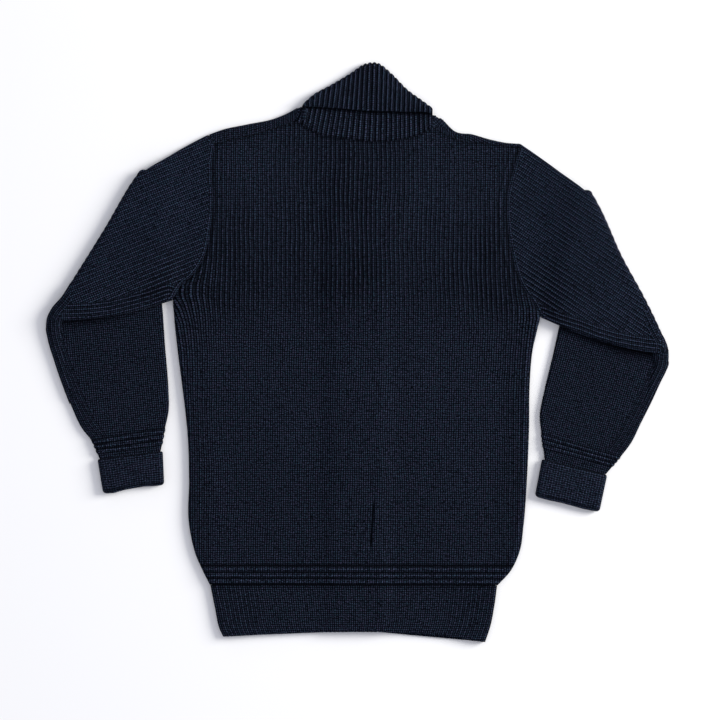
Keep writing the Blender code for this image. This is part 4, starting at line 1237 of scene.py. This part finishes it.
def sleeve_fields(side, points, upper):
    """Stitch places by zone, zones, rib phase and strength, from plan points."""
    plan = points[:, :2]
    x, y = plan.T
    nx, ny, pitch = RIB_LAY[side]
    slant = WALE_LAY[side]
    from_arm = distance_to(plan, SLEEVE_CURVES[side][0])
    from_fold = distance_to(plan, FOLD_LINE[side])
    from_edge = distance_to(plan, FOREARM[side][:, 2:4])
    across_ribs = (nx * x + ny * y) / pitch
    wale, course = (x + slant * y) / FINE_WALE, (y - slant * x) / COURSE
    stitch = [
        np.column_stack([2 * across_ribs + 1, (-ny * x + nx * y) / COURSE]),
        np.column_stack([2 * from_arm / ARM_PITCH + 1, y / COURSE]),
        np.column_stack([2 * from_fold / FOLD_PITCH + 1, x / COURSE]),
        np.column_stack([wale, course]),
        np.column_stack([2 * from_edge / EDGE_PITCH + 1, course]),
    ]
    if upper:
        zone = np.where(from_arm < ARM_BAND, 1, np.where(from_fold < FOLD_BAND, 2, 0))
        phase = np.choose(zone, [across_ribs, from_arm / ARM_PITCH, from_fold / FOLD_PITCH])
        strength = SLEEVE_STRENGTH[side] * smooth_step(from_arm / 3.0)
        strength = strength * (1 - 0.4 * patches(x * 1.3, y * 1.3))
        strength = np.where(zone == 2, 0.75, strength)
        low = near(x, y, side * 262, 95 if side < 0 else 80, 45, 60)
        strength = np.clip(strength + 0.4 * low, 0, 1)
    else:
        zone = np.where(from_edge < EDGE_BAND, 4, 3)
        phase = np.where(zone == 4, from_edge / EDGE_PITCH, wale / 2)
        strength = np.where(zone == 4, 0.4, 0.12)
        strength = strength * smooth_step((below_fold(side, x, y) - 5) / 10)
    return stitch, zone, phase, strength


def ring_line(net, row, stitch, zone, showing, strength, tone):
    strength = np.maximum(np.where(showing, strength, 0.3), 0.05)
    shade = np.column_stack([strength, strength * 0 + tone])
    return net.line(*row, around(stitch), shade, zone, closed=True)


def upper_line(net, side, station, raised=1.0):
    """A ring of the upper arm or of the fold, with its ribs raised on the upper face."""
    bare = station.loop(TUBE_HALF, SHOWN_UPPER, HIDDEN_FACE)
    stitch, zone, phase, strength = sleeve_fields(side, bare.points, True)
    showing = np.arange(len(zone)) < len(SHOWN_UPPER)
    relief = (RIB_HEIGHT * strength * rib_wave(phase))[showing] * raised
    row = station.loop(TUBE_HALF, SHOWN_UPPER, HIDDEN_FACE, relief)
    return ring_line(net, row, stitch, zone, showing, strength, 0.72)


def lower_line(net, side, ring, ridge, welted):
    """A ring of the forearm, with a painted shadow under the upper arm's edge, and ridges at the
    wrist with painted light and shade on them.
    """
    station = lower_station(side, ring)
    bare = station.loop(TUBE_HALF, HIDDEN_FACE, SHOWN_LOWER)
    stitch, zone, phase, strength = sleeve_fields(side, bare.points, False)
    x, y = bare.points[:, 0], bare.points[:, 1]
    start = len(HIDDEN_FACE) + 3
    showing = (np.arange(len(x)) >= start) & (np.arange(len(x)) < start + len(SHOWN_LOWER))
    wave = np.cos(TURN * x / FOLD_PITCH)
    relief = RIB_HEIGHT * strength * rib_wave(phase) + RIDGE_HEIGHT * ridge * (0.8 + 0.2 * wave)
    row = station.loop(TUBE_HALF, HIDDEN_FACE, SHOWN_LOWER, 0.0, relief[showing][::-1])
    # Painted shadow where the upper arm's edge overhangs the forearm, wider towards the outer end
    outward = smooth_step((np.abs(x) - 280) / 110)
    shadow = bell(np.maximum(below_fold(side, x, y) - 1, 0), 0, 5.5 + 8.0 * outward)
    tone = 0.47 * (1 - (0.6 + 0.36 * outward) * shadow)
    # Painted highlights on the wrist ridges' crests and painted shade in the gaps between them,
    # with the loops of their braid along them
    braid_and_painted_light = 0.08 + 1.7 * ridge**1.4 * (0.68 + 0.5 * (0.5 + 0.5 * wave))
    tone = blend(tone, 0.5 * braid_and_painted_light, welted)
    return ring_line(net, row, stitch, zone, showing, strength, tone)


def inside_line(net, side, station, upper):
    ring = station.loop(LAYER_GAP / 2, INSIDE, INSIDE)
    stitch, zone, _, _ = sleeve_fields(side, ring.points, upper)
    return net.line(*ring, around(stitch), (0.2, 0.5), zone, closed=True)


def lower_rings(side):
    """The forearm's rings from the fold to the wrist, and then over its ridges.

    Each comes with its height on a ridge and its share of the ridged zone.
    """
    axis = SLEEVE_CURVES[side][1]
    rows = np.vstack([[*axis[0], *axis[-1], 1.0], FOREARM[side]])
    rings = [(row, 0.0, 0.0) for row in along(rows, np.linspace(0, 1, 64))[1:-1]]
    top, foot = FOREARM[side][-1], WRIST[side][0]
    length = math.dist(top[:2], foot[:2])
    ridges = WRIST_RIDGES[side]
    for distance in np.arange(length, 0.2, -WRIST_ROW_STEP):
        row = blend(top, foot, 1 - distance / length)
        ridge = max(max(1 - ((distance - at) / RIDGE_HALF[side]) ** 2, 0) for at in ridges)
        swell = (row[2:4] - row[:2]) / math.dist(row[:2], row[2:4]) * RIDGE_SWELL * ridge
        row[:2] -= swell
        row[2:4] += swell
        welted = smooth_step((distance - ridges[0] + 5) / 1.5)
        welted = welted * smooth_step((ridges[-1] + 5 - distance) / 1.5)
        rings.append((row, ridge, float(welted)))
    return rings + [(foot, 0.0, 0.0)]


def add_elbow_roll(net, side):
    """The cloth that turns over at the elbow's outer end, ribbed along its length."""
    rows = along(ELBOW_ROLL[side], np.linspace(0, 1, 90))
    inward = sideways(directions(rows[:, :2])) * -side
    angles = turns(60)
    over = np.sin(angles) > 0
    lines = []
    for k, travelled in enumerate(running(rows[:, :2])):
        x, y, wide, foot, top = rows[k]
        close = math.sqrt(min(1.0, k / 6, (len(rows) - 1 - k) / 6) + 0.002)
        offset = wide * close * (1 - np.cos(angles))
        phase = offset / ARM_PITCH
        height = foot + np.where(over, top - foot, 1.0) * close * np.sin(angles)
        height = height + ROLL_RIB_HEIGHT * rib_wave(phase) * over * close
        plan = np.array([x, y]) + offset[:, None] * inward[k]
        stitch = np.column_stack([2 * phase + 1, np.full(60, travelled / COURSE)])
        points, at = np.column_stack([plan, height]), np.linspace(0, 1, 61)
        lines.append(net.line(points, at, around([stitch]), (0.6, 0.56), closed=True))
    net.roll(lines)


def make_sleeve(side, name, material):
    net = Net()
    stations = np.concatenate([np.linspace(0, 0.27, 30), np.linspace(0.27, 0.985, 54)[1:]])
    outer = [upper_line(net, side, upper_station(side, t)) for t in stations]
    for angle in FOLD_ANGLES:
        raised = float(smooth_step(angle + 1.0))
        outer.append(upper_line(net, side, fold_station(side, angle), raised))
    outer += [lower_line(net, side, *ring) for ring in lower_rings(side)]
    upper = [upper_station(side, t) for t in INSIDE_STATIONS]
    upper += [fold_station(side, angle) for angle in FOLD_ANGLES[::2]]
    lower = [lower_station(side, ring) for ring in (*FOREARM[side][:-1], *WRIST[side])]
    inner = [inside_line(net, side, station, True) for station in upper]
    inner += [inside_line(net, side, station, False) for station in lower]
    net.tube(outer, inner)
    add_elbow_roll(net, side)
    return net.piece(name, material)


def cuff_station(start, end):
    length = math.dist(start, end)

    def middle(share):
        s = (CUFF_HALF + share * (length - 2 * CUFF_HALF)) / length
        return np.column_stack([blend(start, end, s[:, None]), np.full(len(s), CUFF_HALF)])

    return Station(middle, facing((0.0, 0.0, 1.0)))


def corner_rounding(radius, share):
    """How far a corner draws in, at a share of the way into it."""
    return radius * (1 - math.sqrt(1 - max(0.0, share) ** 2))


def make_cuff(side, name, material):
    """A turned-back cuff: a double wall, rounded at the turn and at its free edge."""
    head, foot = CUFF[side][:2], CUFF[side][2:]
    length = math.dist(head.mean(axis=0), foot.mean(axis=0))
    ribbed = np.linspace(0, 1, 6 * CUFF_RIBS + 1)
    net = Net()
    outer, inner = [], []
    for share in CUFF_SHARES:
        start, end = blend(head, foot, share)
        rounding = corner_rounding(5.0, (share - 0.9) / 0.1)
        rounding += corner_rounding(2.0, (0.06 - share) / 0.06)
        inward = (end - start) / math.dist(start, end)
        station = cuff_station(start + rounding * inward, end - rounding * inward)
        tuck = float(np.interp(share, *CUFF_TUCK))
        relief = CUFF_RIB_HEIGHT * rib_wave(ribbed * CUFF_RIBS) * (1 - 0.4 * tuck)
        relief = relief - CUFF_TURN_DEPTH * bell(share, CUFF_TURN, 0.013)
        row = station.loop(CUFF_HALF, ribbed, HIDDEN_FACE, relief)
        top = np.full(len(row.points), 2 * CUFF_HALF - CUFF_LIP * tuck)
        top[: len(relief)] += relief
        row.points[:, 2] = np.minimum(row.points[:, 2], top)
        row.points[:, 1] -= share**2 * np.interp(row.points[:, 0], *CUFF_SAG[side])
        wales = row.at * 5 * CUFF_RIBS
        stitch = [np.column_stack([wales, np.full(len(wales), share * length / COURSE)])]
        # Painted shade at the cuff's head, where it meets the sleeve, and in the groove of the
        # turn
        edge = 1 - 0.75 * bell(share, 0, 0.02) - 0.5 * bell(share, CUFF_TURN, 0.02)
        outer.append(net.line(*row, stitch, (0.75, 0.95 * edge), closed=True))
        row = station.loop(LAYER_GAP / 2, HIDDEN_FACE, HIDDEN_FACE)
        wales = row.at * 5 * CUFF_RIBS
        stitch = [np.column_stack([wales, np.full(len(wales), share * 20)])]
        inner.append(net.line(*row, stitch, (0.3, 0.5), closed=True))
    net.tube(outer, inner)
    return net.piece(name, material)


# Collar ---------------------------------------------------------------------------


def collar_fold(share):
    """Plan points of the seam, the roll and the free edge."""
    row = along(COLLAR, share)
    seam = np.column_stack([row[:, 0], top_edge(row[:, 0]) + SEAM_GAP])
    return seam, row[:, 1:3], row[:, 3:5]


def collar_stand_height(share, distance):
    """The middle of the stand's wall: raised at both ends, on the floor between them."""
    ends = 1 - smooth_step((np.minimum(share, 1 - share) - 0.04) / 0.14)
    ramp = 1 - smooth_step(distance / COLLAR_RAMP)
    return COLLAR_HALF + COLLAR_LIFT * np.maximum(ends, ramp)


def collar_lines(shares):
    """Middle lines from the seam to the free edge, with the way that the outside faces."""
    seam, roll, edge = collar_fold(shares)
    reach = np.linalg.norm(roll - seam, axis=1)
    up = (roll - seam) / reach[:, None]
    fall_length = np.linalg.norm(edge - roll, axis=1)
    down = (edge - roll) / fall_length[:, None]
    inside = COLLAR_HALF + COLLAR_ROLL_MID
    axis = roll - up * inside
    top_height = collar_stand_height(shares, reach)
    lines = []
    for part in COLLAR_STAND:
        distance = part * (reach - inside)
        height = collar_stand_height(shares, distance)
        lines.append((seam + up * distance[:, None], height, -math.pi / 2))
    for angle in COLLAR_ROLL_ANGLES:
        point = axis + up * (COLLAR_ROLL_MID * math.cos(angle))
        lines.append((point, top_height + COLLAR_ROLL_MID * (1 + math.sin(angle)), angle))
    length = np.maximum(fall_length - inside, 1.0)
    for part in COLLAR_FALL:
        point = axis + down * (part * length)[:, None]
        under = np.clip(((point - seam) * up).sum(axis=1), 0, None)
        height = collar_stand_height(shares, under) + COLLAR_WALL + LAYER_GAP
        height = np.maximum(height, blend(top_height + 2 * COLLAR_ROLL_MID, height, part))
        bulge = COLLAR_BULGE * math.sin(math.pi * (part * 0.9 + 0.1)) * smooth_step(length / 25)
        lines.append((point, height + bulge, math.pi / 2))
    return lines, up


def add_neck_fold(net, fold):
    """A small rolled end of cloth tucked in beside the collar, ribbed across its length."""
    turn = math.radians(fold.turn)
    ahead = np.array([math.cos(turn), math.sin(turn)])
    aside = np.array([-ahead[1], ahead[0]])
    middle, tall = (fold.low + fold.high) / 2, (fold.high - fold.low) / 2
    angles, at = turns(24), np.linspace(0, 1, 25)
    lines = []
    for share in np.linspace(-1, 1, 41):
        ribs = share * fold.long / NECK_FOLD_PITCH
        swell = math.sqrt(max(1 - abs(share) ** 2.6, 0.0004)) * (1 - 0.1 * math.cos(TURN * ribs))
        offset = fold.wide * swell * np.cos(angles)
        height = middle + tall * swell * np.sin(angles)
        plan = np.array([fold.x, fold.y]) + fold.long * share * ahead + offset[:, None] * aside
        stitch = [np.column_stack([np.full(25, 2 * ribs), 12 * at])]
        points = np.column_stack([plan, height])
        # Painted light: the folds' tone is set well above the cloth's, so that they stay light in
        # the collar's shadow
        lines.append(net.line(points, at, stitch, (0.8, 0.95), closed=True))
    net.roll(lines)


def make_collar(material):
    """Stand and fall of the shawl collar in one folded wall, ribbed where it shows."""
    columns = np.linspace(0, 1, 8 * COLLAR_RIBS + 1)
    lines, up = collar_lines(columns)
    seam, roll, edge = collar_fold(columns)
    hidden_from = ((edge - seam) * up).sum(axis=1)
    crest = COLLAR_RIB_HEIGHT * rib_wave(columns * COLLAR_RIBS)
    peak = 1 + 0.5 * bell(roll[:, 0], 20, 32)
    net = Net()
    face, reverse = [], []
    middles = [np.column_stack([point, height]) for point, height, _ in lines]
    steps = [two - one for one, two in zip(middles, middles[1:])]
    travelled = np.cumsum(np.linalg.norm([middles[0] * 0] + steps, axis=2), axis=0)
    for (point, _, turn), middle, length in zip(lines, middles, travelled):
        rise = math.sin(turn)
        normal = np.column_stack([up * math.cos(turn), np.full(len(up), rise)])
        half, tone = COLLAR_HALF + 0 * crest, 0.8 + 0 * crest
        out_half = half + crest * peak * min(rise + 1, 1.0)
        if rise < -0.99:
            distance = ((point - seam) * up).sum(axis=1)
            half = half + crest * (1 - smooth_step((distance - hidden_from + 5) / 4))
            # Painted shadow on the stand just under the fall's edge, and painted shade at the neck
            # seam
            tone = tone * (1 - 0.8 * bell(np.maximum(hidden_from - distance - 2.0, 0), 0, 3.2))
            tone = tone * (1 - 0.5 * bell(distance, 0, 2.0))
        stitch = [np.column_stack([2 * COLLAR_RIBS * columns + 1, length / COURSE])]
        shade = np.column_stack([np.full(len(tone), 0.9), tone])
        for layer, away in ((face, out_half), (reverse, -half)):
            layer.append(net.line(middle + normal * away[:, None], columns, stitch, shade))
    net.wall(face, reverse)
    for fold in NECK_FOLDS:
        add_neck_fold(net, fold)
    return net.piece("knit_collar", material)


# Sewing ---------------------------------------------------------------------------


def yarn_tube(path, radii, sides=7):
    """A round yarn along a path of points, thinner at its ends."""
    slopes = directions(path)
    aside = np.cross(slopes, (0.0, 0.0, 1.0))
    aside /= np.maximum(np.linalg.norm(aside, axis=1), 1e-6)[:, None]
    above = np.cross(aside, slopes)
    radii[[0, -1]] *= 0.5
    bm = bmesh.new()
    rings = []
    for k, point in enumerate(path):
        ring = [
            point + radii[k] * (math.cos(t) * aside[k] + math.sin(t) * above[k])
            for t in turns(sides)
        ]
        rings.append([bm.verts.new(corner * MM) for corner in ring])
    skin(bm, rings)
    return bm


def sewn_seam(name, curve, material, radius=0.75, swing=0.12, length=4.2, wide_from=None):
    """A seam's yarn, which crosses from one edge to the other and back with every stitch."""
    at = running(curve)
    wanted = np.arange(0, at[-1], length / 6)
    path = np.column_stack([np.interp(wanted, at, column) for column in curve.T])
    aside = sideways(np.gradient(path, axis=0))
    aside /= np.linalg.norm(aside, axis=1)[:, None]
    wave = TURN * wanted / length
    path[:, :2] += aside * (swing * np.sin(wave))[:, None]
    path[:, 2] += 0.25 * np.cos(2 * wave)
    radii = np.full(len(path), radius)
    if wide_from is not None:
        radii += 0.9 * smooth_step((wanted - at[-1] + wide_from) / 3.0)
    piece = turned_piece(name, yarn_tube(path, radii), material)
    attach(piece, "root")


def armhole_seam(side):
    """The middle of the gap between the back and a sleeve, just under the cloth's face."""
    places = np.linspace(UNDERARM - 0.004, 1.0, 90)
    rows = np.array([body_end(place, side) for place in places])
    rows[:, 0] += side * (SEAM_GAP + 0.2) / 2
    height = TOP_FACE - 1.35 - 2.6 * (1 - smooth_step((places - places[0]) / 0.03))
    fold = fold_corner(side)
    top = np.array([fold[0] + side * 0.3, fold[1] - 0.6, TOP_FACE - 2.4])
    return np.vstack([np.column_stack([rows, height]), top])


def top_seam(start, end, count, gap, depth):
    """A seam along the back's upper edge, in the middle of a gap."""
    x = np.linspace(start, end, count)
    return np.column_stack([x, top_edge(x) + gap / 2, np.full(count, TOP_FACE - depth)])


def cuff_seam(side):
    """The line where a cuff's head meets the sleeve."""
    ends = WRIST[side][0, :4].reshape(2, 2)
    middle = (ends + CUFF[side][:2][::side]) / 2
    share = np.linspace(0.02, 0.98, 50)
    height = 5.6 - 3.0 * (1 - smooth_step(np.minimum(share, 1 - share) / 0.04))
    return np.column_stack([blend(*middle, share[:, None]), height])


def hem_seam():
    points = blend(*hem_ends(0.0), np.linspace(0.008, 0.992, 60)[:, None])
    points[:, 1] += SEAM_GAP
    return np.column_stack([points, TOP_FACE - 1.3 + placket_bump(*points.T)])


# Materials ------------------------------------------------------------------------


def put(entry, value):
    """Sets a socket to a plain value, or links it to a worked-out one."""
    if isinstance(value, Value):
        entry.id_data.links.new(value.socket, entry)
    else:
        entry.default_value = value


class Value:
    """A shader's value at each place, which takes plain arithmetic."""

    def __init__(self, socket):
        self.socket = socket

    def math(self, operation, *others, clamp=False):
        made = self.socket.id_data.nodes.new("ShaderNodeMath")
        made.operation, made.use_clamp = operation, clamp
        for entry, value in zip(made.inputs, (self, *others)):
            put(entry, value)
        return Value(made.outputs[0])

    def __add__(self, other):
        return self.math("ADD", other)

    def __sub__(self, other):
        return self.math("SUBTRACT", other)

    def __mul__(self, other):
        return self.math("MULTIPLY", other)

    def __pow__(self, other):
        return self.math("POWER", other)

    def scaled(self, factor, shift, clamp=False):
        return self.math("MULTIPLY_ADD", factor, shift, clamp=clamp)

    def cosine(self):
        return self.math("COSINE")


class Surface:
    """A material with the parts of its shader at hand."""

    def __init__(self, name, roughness=0.5, specular=0.5, constants=()):
        self.material = bpy.data.materials.new(name)
        self.material.use_nodes = True
        self.nodes = self.material.node_tree.nodes
        self.shader = self.nodes["Principled BSDF"].inputs
        put(self.shader["Roughness"], roughness)
        put(self.shader["Specular IOR Level"], specular)
        for key in constants:
            put(self.shader[key], constants[key])

    def noise(self, scale, detail):
        made = self.nodes.new("ShaderNodeTexNoise")
        put(made.inputs["Vector"], Value(self.nodes.new("ShaderNodeTexCoord").outputs["Object"]))
        put(made.inputs["Scale"], scale)
        put(made.inputs["Detail"], detail)
        return Value(made.outputs[0])

    def mix(self, share, one, two):
        made = self.nodes.new("ShaderNodeMix")
        made.data_type = "RGBA"
        put(made.inputs["Factor"], share)
        put(made.inputs[6], one)
        put(made.inputs[7], two)
        return Value(made.outputs[2])

    def read_map(self, name):
        """The two values that a piece's map of this name gives each place."""
        read = self.nodes.new("ShaderNodeUVMap")
        read.uv_map = name
        parts = self.nodes.new("ShaderNodeSeparateXYZ")
        put(parts.inputs[0], Value(read.outputs[0]))
        return Value(parts.outputs[0]), Value(parts.outputs[1])


# The darkest wool colour, which also stands for the painted shade in grooves, in gaps between
# loops and in painted shadows
DARK_AND_SHADED_WOOL = (0.0006, 0.0009, 0.0020, 1.0)
TEAL_WOOL = (0.042, 0.080, 0.129, 1.0)
VIOLET_WOOL = (0.072, 0.075, 0.145, 1.0)
DARK_HORN, PALE_HORN = (0.008, 0.009, 0.013, 1), (0.05, 0.042, 0.04, 1)
DARK_THREAD, PALE_THREAD = (0.0006, 0.0008, 0.0016, 1), (0.006, 0.007, 0.012, 1)


def knit_material():
    """Twisted woollen yarn, one purl column sunk between two knit ones where it is ribbed."""
    sheen = {"Sheen Weight": 0.05, "Sheen Roughness": 0.25, "Sheen Tint": (0.55, 0.62, 0.85, 1.0)}
    wool = Surface("navy knit", 0.9, 0.02, sheen)
    u, v = wool.read_map("stitch")
    strength, half_tone = wool.read_map("shade")
    wobble = wool.noise(260, 1.0) - 0.5
    u, v = u + wobble * 0.45, v + wobble
    # Each stitch is a V of two legs of yarn, looped through the one below
    aside = ((u + 0.5).math("FRACT") - 0.5).math("ABSOLUTE")
    loop = ((v + aside * 0.45) * TURN).cosine().scaled(0.5, 0.5)
    leg = (aside * math.pi).cosine().math("MAXIMUM", 0.0) ** 1.15
    leg = leg * (aside * 8.0).math("MINIMUM", 1.0).scaled(0.35, 0.65)
    yarn = leg * loop.scaled(0.52, 0.48)
    # Between two ribs is a groove, which is broken here and there; below, its colour is darkened
    # as painted shade
    crest = (u * math.pi).cosine().scaled(0.5, 0.5)
    broken = wool.noise(170, 1.0).scaled(2.4, -0.1, clamp=True)
    groove = crest.scaled(-1.0, 1.0) ** 3.6 * broken * strength
    height = yarn * groove.scaled(-0.5, 0.75) + groove * -0.6 + wool.noise(1500, 2.0) * 0.18
    bump = wool.nodes.new("ShaderNodeBump")
    put(bump.inputs["Strength"], 1.0)
    put(bump.inputs["Distance"], 0.0011)
    put(bump.inputs["Height"], height)
    put(wool.shader["Normal"], Value(bump.outputs[0]))
    # The yarn's colour, with painted shade in the gaps between loops and in the grooves between
    # ribs
    light = (yarn**3.8).scaled(1.22, 0.003) * groove.scaled(-1.0, 1.0)
    light = light * wool.noise(330, 1.0).scaled(3.2, -0.62, clamp=True)
    light = light * wool.noise(14, 2.0).scaled(0.24, 0.88)
    # The pieces' tone, which holds their painted shade and highlights as well as the cloth's own
    # lighter and darker parts
    light = light.math("MULTIPLY", half_tone * 2.0, clamp=True)
    hue = wool.noise(420, 1.0).scaled(3.4, -1.2, clamp=True)
    colour = wool.mix(light, DARK_AND_SHADED_WOOL, wool.mix(hue, TEAL_WOOL, VIOLET_WOOL))
    put(wool.shader["Base Color"], colour)
    return wool.material


def horn_material():
    horn = Surface("dark horn")
    share = (horn.noise(190, 4.0) ** 2.0).math("MULTIPLY", horn.noise(60, 3.0) * 2.0, clamp=True)
    put(horn.shader["Base Color"], horn.mix(share, DARK_HORN, PALE_HORN))
    put(horn.shader["Roughness"], horn.noise(800, 2.0).scaled(0.2, 0.22))
    return horn.material


def thread_material():
    thread = Surface("navy thread", 0.8, 0.04)
    put(thread.shader["Base Color"], thread.mix(thread.noise(2600, 2.0), DARK_THREAD, PALE_THREAD))
    return thread.material


# Stage ----------------------------------------------------------------------------


def make_stage():
    bpy.ops.mesh.primitive_plane_add(size=8.0, location=(0, 0, -0.0004))
    floor = bpy.context.object
    floor.name = "floor"
    paint = Surface("pale floor", 0.9, 0.0, {"Base Color": (0.86, 0.86, 0.86, 1)})
    floor.data.materials.append(paint.material)
    world = bpy.data.worlds.new("studio")
    world.use_nodes = True
    sky = world.node_tree.nodes["Background"].inputs
    put(sky["Color"], (0.94, 0.955, 1.06, 1))
    put(sky["Strength"], 0.685)
    bpy.context.scene.world = world
    key = bpy.data.lights.new("key", "AREA")
    key.shape = "DISK"
    key.size = 3.0
    key.energy = 512.0
    key.color = (1.0, 0.985, 0.94)
    lamp = bpy.data.objects.new("key", key)
    lamp.location = (5.2, 1.6, 2.6)
    lamp.rotation_euler = lamp.location.normalized().to_track_quat("Z", "Y").to_euler()
    bpy.context.scene.collection.objects.link(lamp)
    bpy.context.scene.view_settings.view_transform = "Standard"


def make_camera():
    camera = bpy.data.cameras.new("camera")
    camera.sensor_width = 36.0
    camera.lens = 212.8
    camera.clip_end = 50.0
    eye = bpy.data.objects.new("camera", camera)
    eye.location = (0.00381, -0.01079, 6.0)
    bpy.context.scene.collection.objects.link(eye)
    bpy.context.scene.camera = eye


# Pieces ---------------------------------------------------------------------------


def dress(piece, node):
    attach(piece, "root")
    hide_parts(node)


make_camera()
make_stage()
knit, horn, thread = knit_material(), horn_material(), thread_material()

buttons = []
for number, place_y in enumerate(button_places(), start=1):
    button, stitches = make_button(f"turned_button_{number}", place_y, horn, thread)
    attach(button, "root")
    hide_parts(f"button_{number}")
    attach(stitches, "root")
    buttons += [button, stitches]

dress(make_back(knit), "back")
dress(make_hem_back(knit), "hem_back")
dress(make_collar(knit), "collar")
for side, word, cuff_area in ((-1, "left", 0.009), (1, "right", 0.0105)):
    front = make_front(side, f"knit_front_{word}", knit)
    dress(front, f"front_{word}")
    hem = make_hem_front(side, f"knit_hem_{word}", knit)
    dress(hem, f"hem_{word}")
    sleeve = make_sleeve(side, f"knit_sleeve_{word}", knit)
    dress(sleeve, f"sleeve_{word}")
    cuff = make_cuff(side, f"knit_cuff_{word}", knit)
    dress(cuff, f"cuff_{word}")
for side, word, sewn_on in ((-1, "left", buttons), (1, "right", ())):
    band = make_band(side, f"knit_band_{word}", knit)
    dress(band, f"band_{word}")

for side, word, neck_end in ((-1, "left", NECK_LEFT), (1, "right", NECK_RIGHT)):
    sewn_seam(f"armhole_seam_{word}", armhole_seam(side), thread, wide_from=14.0)
    shoulder = top_seam(BACK_CORNER[side], neck_end, 60, SHOULDER_GAP, 1.2)
    sewn_seam(f"shoulder_seam_{word}", shoulder, thread)
    sewn_seam(f"cuff_seam_{word}", cuff_seam(side), thread, radius=0.9)
sewn_seam("neck_seam", top_seam(NECK_LEFT, NECK_RIGHT, 90, SEAM_GAP, 1.1), thread)
sewn_seam("hem_seam", hem_seam(), thread)
